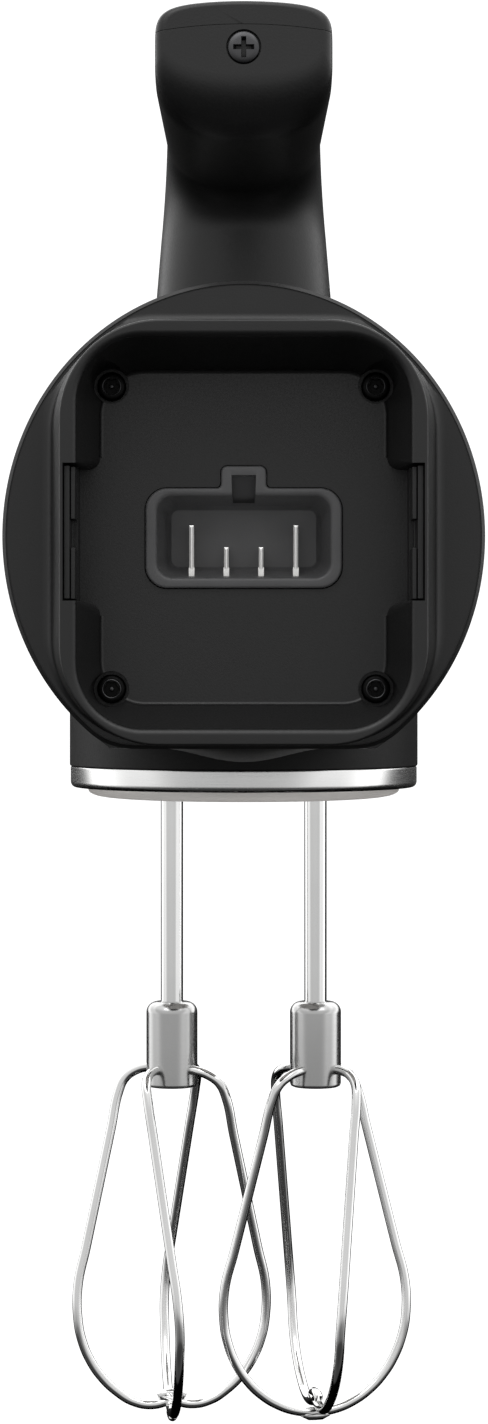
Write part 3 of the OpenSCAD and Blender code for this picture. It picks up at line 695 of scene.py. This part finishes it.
def on_connector_hole(x, y, z):
    """Whether a point is on the connector hole's edge."""
    past = connector_shape(np.float64(x), np.float64(z)) - GAP
    return abs(y - FLOOR_Y) < 0.02 and abs(past) < 0.05


rings = [fine_ring(connector_shape, 0, y) for y in (33.5, 26)]
rings += [fine_ring(connector_shape, inset, FACE_Y + depth)
          for inset, depth in reversed(rounding(FACE_EDGE, 4))]
rings += [fine_ring(box_shape(*SOCKET_MOUTH), -inset, FACE_Y + depth)
          for inset, depth in rounding(SOCKET_EDGE, 5)]
rings += [fine_ring(socket_wall(k), 0, 23.2 + SOCKET_DEPTH * k) for k in (0.25, 0.5, 0.75, 0.96)]
rings.append(fine_ring(box_shape(*SOCKET_FLOOR), 0.5, 32))
housing = skin("connector_moulding", rings)
cut(housing, skin("keyway_cut", [keyway_ring(21, 2.35), keyway_ring(26, 2.2, 4)]))
soften(housing, 0.2, lambda x, y, z: abs(x) < 2.8 and y < 28 and 9 < z < 12.6)
cut(cover, skin("connector_cut", [fine_ring(connector_shape, -GAP, y) for y in (20, 28)]))
soften(cover, 0.12, on_connector_hole)
fit(cover, "black_plastic", "rear_cover")
fit(housing, "grey_plastic", "connector_housing")

# %% Blades
BLADE_PITCH = 7.0
BLADE_LOW, ROOT_TOP = -6.3, -6.1
BLADE_BACK = 35.9


def blade(x, top):
    """A contact blade with a chamfered tip on a wider root."""
    upright = []
    for half, y, drop in ((0.1, 24, 0.5), (0.45, 24.25, 0), (0.45, BLADE_BACK, 0)):
        upright.append([(x - half, y, BLADE_LOW), (x + half, y, BLADE_LOW),
                        (x + half, y, top - drop), (x - half, y, top - drop)])
    root = block("root", (x - 0.6, 24.2, blades_low.z), (x + 0.6, BLADE_BACK, ROOT_TOP), 0.15, 2)
    return join("blade", [skin("tang", upright), root])


signal_top = span("signal_blades")[1].z
power = join("bright_power_blades", [blade(s * 1.5 * BLADE_PITCH, blades_high.z) for s in (-1, 1)])
signal = join("bright_signal_blades", [blade(s * 0.5 * BLADE_PITCH, signal_top) for s in (-1, 1)])
fit(power, "nickel_contact", "power_blades")
fit(signal, "nickel_contact", "signal_blades")

# %% [markdown]
# ## Screws of the bay and latch strikes
# The battery pack hides four security screws, each deep in a round seat. The head is black,
# and a thin rim round its star recess and the pin in its middle get a lighter grey: a painted
# highlight for the light caught on the recess edge. One screw and one rim are made and copied
# into all four seats. The latch strikes are catch bars in the side windows: a back plate, a web
# and two bars on each side.

# %% Bay screws
STAR_R, LOBE = 1.45, 0.2
HEAD_FACE = 24.3


def star(y, grow=0.0):
    """Outline of the six-lobed recess."""
    ring = []
    for a in full_turn(72):
        r = STAR_R + grow + LOBE * math.cos(6 * a)
        ring.append((r * math.cos(a), y, r * math.sin(a)))
    return ring


def bay_screw():
    """A shank and a head with rounded edges, standing on the y axis."""
    profile = [(1.25, 40), (1.25, 26.4), (2.9, 26.4), (2.9, 24.75), (2.65, 24.45),
               (2.2, HEAD_FACE), (1.95, HEAD_FACE)]
    head = turned("screw", profile, axis="y", sides=64)
    return cut(head, skin("star_cut", [star(24.0, 0.1), star(24.5), star(25.7)]))


def painted_highlight_rim():
    """The rim round the recess and the pin in its middle; their lighter finish is a painted
    highlight.
    """
    deselect()
    bpy.ops.mesh.primitive_torus_add(
        major_radius=1.82 * MM, minor_radius=0.13 * MM, major_segments=48, minor_segments=8,
        location=(0, HEAD_FACE * MM, 0), rotation=(math.pi / 2, 0, 0))
    apply_place()
    rim = bpy.context.object
    profile = [(0.45, 25.8), (0.45, 24.75), (0.33, 24.6), (0.12, 24.55)]
    return join("rim", [rim, turned("pin", profile, axis="y", sides=24)])


def twin_of(piece):
    """A copy of the piece with its own mesh, left selected and active."""
    select_only(piece)
    bpy.ops.object.duplicate(linked=False)
    return bpy.context.object


def copies(name, piece, places):
    """Copies of a piece modelled at the origin, joined into one node."""
    made = []
    for place in places:
        twin = twin_of(piece)
        twin.location = Vector(place) * MM
        apply_place()
        made.append(twin)
    bpy.data.objects.remove(piece)
    return join(name, made)


seats = [(x, 0, z) for x, z in screw_seats]
security = copies("security_screws", bay_screw(), seats)
fit(security, "dark_screw", "bay_screws", finish="black_screw")
# The rims and pins take the lighter grey finish as a painted highlight on the recess edge.
fit(copies("painted_highlight_rims", painted_highlight_rim(), seats), "dark_screw", "bay_screws")

# %% Latch strikes
STRIKE = [  # name, then the least and most of x (outwards), y and z, and the width of the bevel
    ("back", 33.9, 35.05, 2, 14, -13, 13, 0.15), ("web", 33.6, 34.0, 11, 13, -13, 13, 0.1),
    ("bar", 32.9, 33.75, 3, 13, 2.6, 12.8, 0.12), ("bar", 32.9, 33.75, 3, 13, -13, -3, 0.12),
]


def strike_block(side, name, x0, x1, y0, y1, z0, z1, edge):
    """One block of a catch bar on one side."""
    x = sorted((side * x0, side * x1))
    return block(name, (x[0], y0, z0), (x[1], y1, z1), edge, 2)


for side, word in ((-1, "left"), (1, "right")):
    strike = join(f"catch_bars_{word}", [strike_block(side, *sizes) for sizes in STRIKE])
    fit(strike, "grey_plastic", f"latch_strike_{word}", finish="black_plastic")

# %% [markdown]
# ## Housing
# The drum and the nose are one flowing form split at a seam. Its section is the oval of the
# rear plate, flattened below, with a shallow belly along the middle. The section shrinks
# slowly along the drum and quickly at the nose. A smooth curve through a few steps gives the
# sizes in between, and the skin is then given its wall.

# %% Housing
# Each step is the distance y, the share of the plate's size, and how far the belly has grown:
DRUM = [(22.5, 1, 0), (30, 1, 0.45), (45, 0.998, 1), (70, 0.985, 1), (95, 0.96, 1),
        (112, 0.925, 1), (128, 0.87, 1)]
NOSE = [(128, 0.87, 1), (136, 0.83, 1), (143, 0.76, 0.8), (148.5, 0.67, 0.6),
        (152.5, 0.55, 0.3), (154.5, 0.43, 0.1), (155, 0.3, 0)]
BELLY, BELLY_HALF = 3.3, 20
HOUSING_SIDES = 288
WALL = 2.4


def flowing(steps, parts=4):
    """More steps on a smooth curve through the given ones."""
    padded = [steps[0], *steps, steps[-1]]
    for a, b, c, d in zip(padded, padded[1:], padded[2:], padded[3:]):
        for i in range(parts):
            t = i / parts
            yield [0.5 * (2 * q + (r - p) * t + (2 * p - 5 * q + 4 * r - s) * t ** 2
                          + (3 * q - p - 3 * r + s) * t ** 3)
                   for p, q, r, s in zip(a, b, c, d)]
    yield steps[-1]


def housing_ring(y, k, swell, inset=0.0):
    """Section of the housing: the plate's oval times k, flat below and with a swelling belly."""
    ring = []
    for a in full_turn(HOUSING_SIDES):
        x, z = (cover_high.x * k - inset) * math.cos(a), (cover_high.z * k - inset) * math.sin(a)
        hump = math.cos(math.pi / 2 * min(abs(x) / BELLY_HALF, 1)) ** 2
        low = FLAT * k - inset + swell * BELLY * hump
        ring.append((x, y, max(z, -low)))
    return ring


def housing_solid(steps):
    """The housing as a solid, a hair larger than its casing, to trim other pieces with."""
    return skin("housing_solid", [housing_ring(*step, -0.02) for step in flowing(steps)])


drum = skin("drum_casing", [
    housing_ring(22.55, 0.998, 0), *[housing_ring(*s) for s in flowing(DRUM)][1:-1],
    housing_ring(127.6, 0.8712, 1), housing_ring(127.95, 0.865, 1)])
inner_drum = [(22, 1, 0), *DRUM, (128.5, 0.867, 1)]
cut(drum, skin("drum_hollow", [housing_ring(*step, WALL) for step in flowing(inner_drum)]),
    block("drive_way", (-32, 78, -60), (32, 120, -20)),
    block("wire_way", (-13, 104, 20), (13, 127, 60)))
fit(drum, "black_plastic", "drum_shell")
nose = skin("nose_casing", [
    housing_ring(128.05, 0.865, 1), housing_ring(128.4, 0.868, 1),
    *[housing_ring(*s) for s in flowing(NOSE)][1:]])
inner_nose = [(127, 0.873, 1), *NOSE[1:4], (151.5, 0.55, 0.3), (152.6, 0.4, 0.1)]
cut(nose, skin("nose_hollow", [housing_ring(*step, WALL) for step in flowing(inner_nose)]))
fit(nose, "black_plastic", "nose_cap")

# %% [markdown]
# ## Base
# Under the drum stands an oval base block with a satin silver band and a stepped plate below
# it. They are skins of ovals seen from above. The block's wall is trimmed to the drum by
# cutting the drum's solid out of it.

# %% Base
base_low, base_high = span("base_skirt")
MID_Y = (base_low.y + base_high.y) / 2
BASE_A, BASE_B = base_high.x, base_high.y - MID_Y
SKIRT_Z = base_low.z
TIER_Z = span("base_band")[0].z
BOTTOM_Z = span("base_plate")[0].z
BEATER_X = 16.0
BASE_SIDES = 240


def plan_ring(z, inset=0.0):
    """Oval of the base at height z."""
    return [((BASE_A - inset) * math.cos(a), MID_Y + (BASE_B - inset) * math.sin(a), z)
            for a in full_turn(BASE_SIDES)]


def close_ring(piece):
    """Joins the two open edges of a hollow ring with a band of faces."""
    edit_edges(piece)
    bpy.ops.mesh.select_non_manifold()
    bpy.ops.mesh.bridge_edge_loops()
    end_edit()


skirt_steps = [(-14, WALL), (-14, 0), (-30, 0), (SKIRT_Z + 0.35, 0), (SKIRT_Z + 0.08, 0.12),
               (SKIRT_Z, 0.35), (SKIRT_Z, WALL)]
skirt = skin("base_block", [plan_ring(*step) for step in skirt_steps], closed=False)
close_ring(skirt)
cut(skirt, housing_solid(DRUM), housing_solid(NOSE))
fit(skirt, "black_plastic", "base_skirt", finish="base_plastic")

# %% Base: band
BAND_WIDTH = 8.2
BAND_R = 1.3  # the height of the band's rounded lower edge
seam_edge = [(SKIRT_Z - 0.06, 0.5), (SKIRT_Z - 0.14, 0.3), (SKIRT_Z - 0.4, 0.2)]
lower_edge = [(TIER_Z + BAND_R - BAND_R * math.sin(a), 0.2 + 1.1 * (1 - math.cos(a)))
              for a in quarter_turn(8)]
band_steps = [(SKIRT_Z - 0.06, BAND_WIDTH), *seam_edge, *lower_edge, (TIER_Z, BAND_WIDTH)]
band = skin("silver_band", [plan_ring(*step) for step in band_steps], closed=False)
close_ring(band)
fit(band, "satin_silver", "base_band")

# %% Base: plate and screws
TIER_DEPTH = BOTTOM_Z - TIER_Z
legs = [(s * 22, y) for s in (-1, 1) for y in (84.5, 113)]
tier_profile = ((0.4, 4.2), (0.55, 4.5), (0.7, 5.1), (0.83, 6.0), (0.92, 7.2), (0.98, 8.6))
tier_steps = [(TIER_Z + 2, 8.4), (TIER_Z, 8.4), (TIER_Z, 4), (TIER_Z - 0.3, 4.02),
              *[(TIER_Z + TIER_DEPTH * share, inset) for share, inset in tier_profile],
              (BOTTOM_Z, 9.5)]
tier = skin("stepped_plate", [plan_ring(*step) for step in tier_steps])
for s in (-1, 1):
    cut(tier, turned("socket", [(4.9, -60), (4.9, -49)], (s * BEATER_X, MID_Y)),
        turned("bush_seat", [(7.02, -50.4), (7.02, -42)], (s * BEATER_X, MID_Y)))
cut(tier, *[turned("leg_hole", [(3.3, -60), (3.2, BOTTOM_Z + 1.4)], p, sides=48) for p in legs],
    *[turned("leg_bore", [(1.6, -60), (1.6, -49)], p, sides=32) for p in legs])
soften(tier, 0.2, lambda x, y, z: abs(z - BOTTOM_Z) < 0.02)
fit(tier, "warm_silver", "base_plate")


def cross_cut(face):
    """Two crossed wedges, for a cross recess that goes up from a face at that height."""
    wedge = [[(u * half, v * thick, height) for u, v in ((1, 1), (-1, 1), (-1, -1), (1, -1))]
             for half, thick, height in (
                 (2.15, 0.52, face - 0.6), (2.1, 0.5, face + 0.15), (1.3, 0.4, face + 2.0))]
    crossing = [[(-y, x, z) for x, y, z in ring] for ring in wedge]
    return skin("arm", wedge), skin("arm", crossing)


screw_profile = [(1.5, 17), (1.5, 1.2), (3.0, 1.2), (3.0, 0.5), (2.75, 0.15), (2.3, 0)]
foot_screw = cut(turned("screw", screw_profile, sides=48), *cross_cut(0))
feet = copies("plate_screws", foot_screw, [(x, y, BOTTOM_Z + 0.2) for x, y in legs])
fit(feet, "dark_screw", "base_screws")

# %% [markdown]
# ## Handle
# The handle is one form: a grip, an elbow and a post that widens down into the drum. Its
# section is a superellipse, square above and rounder below. The grip's rear end is rounded,
# most of all underneath. The form's hollow is cut out of it, then it is cut in two along the
# parting line into the handle and its top cover, and the parting line's edges are softened.

# %% Handle: the form
GRIP_Y = span("handle_shell")[0].y
BEND_Y, BEND_Z, BEND_R = 92.0, 71.8, 8.0  # the centre and inner radius of the elbow
TOP_R = span("handle_top_cover")[1].z - BEND_Z
MID_R = 91 - BEND_Z
CROWN = 1.5  # the top is crowned and the parting line follows it
SQUARE, ROUND = 7, 2.2  # powers of the superellipse above and below its middle
GRIP_HALF = 17.75  # half the grip's width at its end, and how much less at the elbow
GRIP_TAPER = 0.75
ELBOW_HALF, FLARE = 17, 1.8
POST_R = 41.0
POST_MID = 7  # how far the section's middle moves out on the post
POST = [(0, 18.8), (-12, 19.8), (-20, 20.4), (-30, 20.9), (-38, 21.2)]  # travel, half width
END_DEPTHS = (0, 0.12, 0.35, 0.7, 1.1, 1.6, 2.2, 3.0, 4.0, 5.2, 6.5, 8.0, 10.0)
END_UNDER, END_SIDE, END_TOP = 10.5, 2.4, 1.0  # radii of the grip's rounded end
UNDER_LIFT = 1.15
PARTING = 101.7
SCREW_Z = 97.1
COVER_END = 98.0
POWER_Y, EJECT_Y = 88, 112


def handle_section(half, low, mid, high):
    """Superellipse, squarer above than below, with a crowned top."""
    ring = []
    for a in full_turn(180):
        power = SQUARE if math.sin(a) > 0 else ROUND
        k = (abs(math.cos(a)) ** power + abs(math.sin(a)) ** power) ** (-1 / power)
        u, v = k * math.cos(a), k * math.sin(a)
        reach = high - mid - CROWN * u * u if v > 0 else mid - low
        ring.append((half * u, mid + v * reach))
    return ring


def handle_ring(turn, travel, half, mid, high, low=BEND_R):
    """Section turned about the bend's centre; travel is along the grip or down the post."""
    a = math.radians(turn)
    y, z = (BEND_Y + travel, BEND_Z) if turn < 90 else (BEND_Y, BEND_Z + travel)
    return [(x, y + r * math.sin(a), z + r * math.cos(a))
            for x, r in handle_section(half, low, mid, high)]


def drawn_in(depth, radius):
    """How far a rounded end of that radius is drawn in at a depth from its face."""
    return radius - math.sqrt(radius ** 2 - max(radius - depth, 0) ** 2)


def grip_half(y):
    """Half the grip's width at distance y."""
    return GRIP_HALF - GRIP_TAPER * (y - GRIP_Y) / (BEND_Y - GRIP_Y)


def handle_form(inset=0.0):
    """Rings of the handle's outside, or of its hollow when there is an inset."""
    rings = []
    low = BEND_R + inset
    for depth in END_DEPTHS:
        y = GRIP_Y + inset + depth
        lift = UNDER_LIFT * drawn_in(depth, END_UNDER)
        half = grip_half(y) - inset - drawn_in(depth, END_SIDE)
        high = TOP_R - inset - drawn_in(depth, END_TOP)
        rings.append(handle_ring(0, y - BEND_Y, half, MID_R + lift / 2, high, low + lift))
    for y in (30, 40, 50, 60, 70, 80, 88):
        rings.append(handle_ring(0, y - BEND_Y, grip_half(y) - inset, MID_R, TOP_R - inset, low))
    for turn in range(0, 90, 6):
        k = turn / 90
        half = ELBOW_HALF + FLARE * k ** 2.2 - inset
        high = TOP_R + (POST_R - TOP_R) * k - inset
        rings.append(handle_ring(turn, 0, half, MID_R + POST_MID * k, high, low))
    for travel, half in flowing(POST, 3):
        travel *= 1 + 0.02 * inset  # the hollow's end passes the form's end
        rings.append(handle_ring(90, travel, half - inset, MID_R + POST_MID, POST_R - inset, low))
    return rings


grip = skin("handle_casing", handle_form())
cut(grip, skin("handle_hollow", handle_form(WALL)))
print("  handle", len(grip.data.polygons), "faces")

# %% Handle: parting line, holes and drum
LID_GAP = 0.1  # the shadow gap along the parting line
LID_EDGE = 0.16


def parting(x):
    """Height of the parting line, which is bowed like the top."""
    return PARTING - CROWN * (x / 17.7) ** 2


def lid_zone(gap):
    """All that lies above the parting line, grown downwards and forwards by the gap."""
    low = [(float(x), parting(x) - gap) for x in np.linspace(-25, 25, 41)]
    return skin("lid_zone", [[(x, y, float(z)) for x, z in low + [(25, 120), (-25, 120)]]
                             for y in (0, COVER_END + gap)])


lid = twin_of(grip)
lid.name = lid.data.name = "handle_lid"
cut(lid, lid_zone(0), how="INTERSECT")
cut(grip, lid_zone(LID_GAP), housing_solid(DRUM), housing_solid(NOSE),
    turned("button_hole", [(6.3, 60), (6.3, 120)], (0, EJECT_Y)),
    turned("screw_seat", [(3.5, 10), (3.5, GRIP_Y + 1.5)], (0, SCREW_Z), "y"))
soften(grip, LID_EDGE,
       lambda x, y, z: abs(z - parting(x) + LID_GAP) < 0.03 and y < COVER_END + 0.2)
cut(lid, turned("power_hole", [(5.3, 90), (5.3, 120)], (0, POWER_Y)),
    block("rocker_hole", (-5.4, 57.2, 95), (5.4, 78.8, 120)),
    turned("screw_way", [(1.6, 10), (1.6, 24)], (0, SCREW_Z), "y", 32))
soften(lid, LID_EDGE, lambda x, y, z: abs(z - parting(x)) < 0.03)
fit(grip, "grip_plastic", "handle_shell")
fit(lid, "grip_plastic", "handle_top_cover")

# %% [markdown]
# ## End screw, buttons and rocker
# One cross-head screw holds the rear end of the handle's cover. Its dark head sits in a round
# seat with a thin shadow gap. On top of the handle are the eject button, the power button
# and the speed rocker, all grey, with rounded edges and a dished face.

# %% End screw
def end_screw():
    """A screw with a domed head, turned to face backwards."""
    dome = -0.15
    profile = [(1.5, 13), (1.5, 1.4), (3.2, 1.4), (3.2, 0.45), (3.08, 0.18), (2.8, 0.02),
               (2.0, -0.1), (1.0, dome)]
    head = cut(turned("screw", profile, sides=72), *cross_cut(dome))
    select_only(head)
    head.rotation_euler = (-math.pi / 2, 0, 0)
    apply_place()
    return head


rear_screw = copies("cover_screw", end_screw(), [(0, GRIP_Y + 0.1, SCREW_Z)])
fit(rear_screw, "dark_screw", "handle_end_screw")

# %% Buttons and rocker
def round_key(name, node, y, radius, edge, foot, dish):
    """A round key: its foot, its side, a rounded rim, and a dish as (radius, depth)."""
    top = span(node)[1].z
    rim = [(radius - inset, top - depth) for inset, depth in reversed(rounding(edge))]
    dished = [(r, top - depth) for r, depth in dish]
    return turned(name, [*foot, (radius, top - edge), *rim, *dished], (0, y))


eject = round_key("eject_key", "eject_button", EJECT_Y, 6, 1.2, [(7.2, 88), (7.2, 90), (6, 90)],
                  [(3.4, 0.15), (2.0, 0.45), (0.8, 0.55)])
fit(eject, "grey_plastic", "eject_button", body="ejector")
power_key = round_key("power_key", "power_button", POWER_Y, 5, 0.8,
                      [(5, 96.3), (5, 100.6), (6.6, 100.6), (6.6, 102), (5, 102)],
                      [(2.8, 0.1), (1.6, 0.3), (0.6, 0.38)])
fit(power_key, "grey_plastic", "power_button", body="power_key")
rocker_top = span("speed_rocker")[1].z
rocker = block("rocker_key", (-5, 58.2, 100), (5, 77.8, rocker_top), 0.9, 4)
stems = [block("plunger", (-1.5, y - 1.5, 95.8), (1.5, y + 1.5, 101), 0.3, 2) for y in (61, 75)]
axle = block("axle", (-7.6, 67.2, 100.2), (7.6, 68.8, 101.8), 0.55, 4)
fit(join("speed_key", [rocker, *stems, axle]), "grey_plastic", "speed_rocker", body="speed_key")

# %% [markdown]
# ## Beaters
# Each beater is a polished stem, a satin cap and two wire loops that cross at the bottom. The
# loops are steel wire bent to a path, so each is a curve with a round bevel, turned into a
# mesh. Their path follows the CAD: out of the cap, a tight bend, a straight run that twists
# round the axis, a wide belly and a round bottom. One loop is kinked over the other.

# %% Stems and caps
STEM_R = 2.5
STEM_TOP = span("left_beater_stem")[1].z
cap_low, cap_high = span("left_beater_ferrule")
CAP_R = (cap_high.x - cap_low.x) / 2
GROOVE_Z, GROOVE_R, GROOVE_DEPTH = -29.1, 0.9, 0.5

groove = [(STEM_R - GROOVE_DEPTH * math.sin(a), GROOVE_Z - GROOVE_R * (1 - math.cos(a)))
          for a in [math.pi * i / 8 for i in range(9)]]
stem_profile = [(1.9, STEM_TOP), (STEM_R, STEM_TOP - 0.6), *groove, (STEM_R, cap_high.z - 8)]
cap_profile = [
    (STEM_R, cap_high.z - 0.5), (STEM_R + 0.05, cap_high.z),
    *[(CAP_R - inset, cap_high.z - depth) for inset, depth in rounding(2.4, 10)],
    (CAP_R, cap_low.z + 0.8), (CAP_R - 0.25, cap_low.z + 0.25), (CAP_R - 0.8, cap_low.z)]

for side, word in ((-1, "left"), (1, "right")):
    at = (side * BEATER_X, MID_Y)
    stem = turned(f"{word}_polished_stem", stem_profile, at, sides=72)
    fit(stem, "polished_steel", f"{word}_beater_stem", body=f"{word}_beater")
    cap = turned(f"{word}_satin_cap", cap_profile, at)
    fit(cap, "satin_steel", f"{word}_beater_ferrule", body=f"{word}_beater")

# %% Wire loops
WIRE_R = 1.05
CAGE_R = 21.05
HOLE_Z = -115.3
BELLY_Z = -168.8
LOW_Z = -192.0
KINK = 0.6, 2.2  # how far a kinked wire stays above the other, and rises at the crossing
TIGHT_BEND = [(4.3, 44, 0), (7, 42.5, -0.2), (9.8, 37.5, -1.1), (11.9, 33, -2.8)]  # r, twist, z


def polar(x0, r, turn, z):
    """A point r out from a beater's axis, its turn measured from behind towards +X."""
    a = math.radians(turn)
    return Vector((x0 + r * math.sin(a), MID_Y - r * math.cos(a), z))


def half_loop(x0, turn, twist, low, lift):
    """Half a loop's path, from its hole in the cap to the bottom."""
    path = [polar(x0, r, turn + twist * t, HOLE_Z + z) for r, t, z in TIGHT_BEND]
    high_end = polar(x0, 13, turn + twist * 29, HOLE_Z - 5.6)
    low_end = polar(x0, CAGE_R - 0.1, turn + twist * 1.5, BELLY_Z + 5)
    path += [high_end.lerp(low_end, k / 5) for k in range(6)]
    for t in range(6, 91, 12):
        r = CAGE_R * math.cos(math.radians(t))
        rise = lift * math.cos(math.pi / 2 * min(r / 7, 1)) ** 2
        z = BELLY_Z + (low - BELLY_Z) * math.sin(math.radians(t)) + rise
        path.append(polar(x0, r, turn, z))
    return path


def wire_loop(name, side, turn, low, lift):
    """A round wire bent along both halves of the loop."""
    down, up = [half_loop(side * BEATER_X, t, side, low, lift) for t in (turn, turn + 180)]
    path = down + up[::-1]
    deselect()
    bpy.ops.curve.primitive_bezier_curve_add(enter_editmode=True)
    wire = bpy.context.object
    bpy.ops.curve.select_all(action="SELECT")
    bpy.ops.curve.subdivide(number_cuts=len(path) - 2)
    for knot, point in zip(wire.data.splines[0].bezier_points, path):
        knot.co = point * MM
    bpy.ops.curve.handle_type_set(type="AUTOMATIC")
    bpy.ops.object.mode_set(mode="OBJECT")
    wire.data.resolution_u = 8
    wire.data.bevel_depth = WIRE_R * MM
    wire.data.bevel_resolution = 8
    wire.data.use_fill_caps = True
    bpy.ops.object.convert(target="MESH")
    apply_place()
    wire = bpy.context.object
    wire.name = wire.data.name = name
    return wire


for side, word, plain_turn, kinked_turn in ((-1, "left", 6, 96), (1, "right", 103.7, 13.7)):
    plain = wire_loop(f"{word}_plain_wire", side, plain_turn, LOW_Z, 0)
    kinked = wire_loop(f"{word}_kinked_wire", side, kinked_turn, LOW_Z + KINK[0], KINK[1])
    fit(plain, "polished_steel", f"{word}_wire_loop_a", body=f"{word}_beater", angle=60)
    fit(kinked, "polished_steel", f"{word}_wire_loop_b", body=f"{word}_beater", angle=60)

# %% [markdown]
# ## What stays as the CAD made it
# The parts inside the casing are plain turned and pressed parts whose CAD shape is right.
# They keep their meshes and get the finish that the record names for each of them. The eject
# spring, which stands on the gearbox, gets a mesh of its own.

# %% Finishes for the inner parts
slot_of = {part["node"]: part["material_slot"] for part in frame["record"]["subparts"]}
for name, node in frame["nodes"].items():
    node.data.materials.clear()
    node.data.materials.append(finishes.get(slot_of.get(name), finishes["zinc_screw"]))
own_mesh(frame["nodes"]["eject_spring"])
print(sum(not n.hide_render for n in frame["nodes"].values()), "CAD nodes still show")

# %% Close the scene
FLOOR_TONE = 0.6
pale = bpy.data.materials.new("pale_floor")
pale.use_nodes = True
surface = pale.node_tree.nodes["Principled BSDF"]
surface.inputs["Base Color"].default_value = (FLOOR_TONE, FLOOR_TONE, FLOOR_TONE, 1)
surface.inputs["Roughness"].default_value = 0.9
floor.data.materials.append(pale)
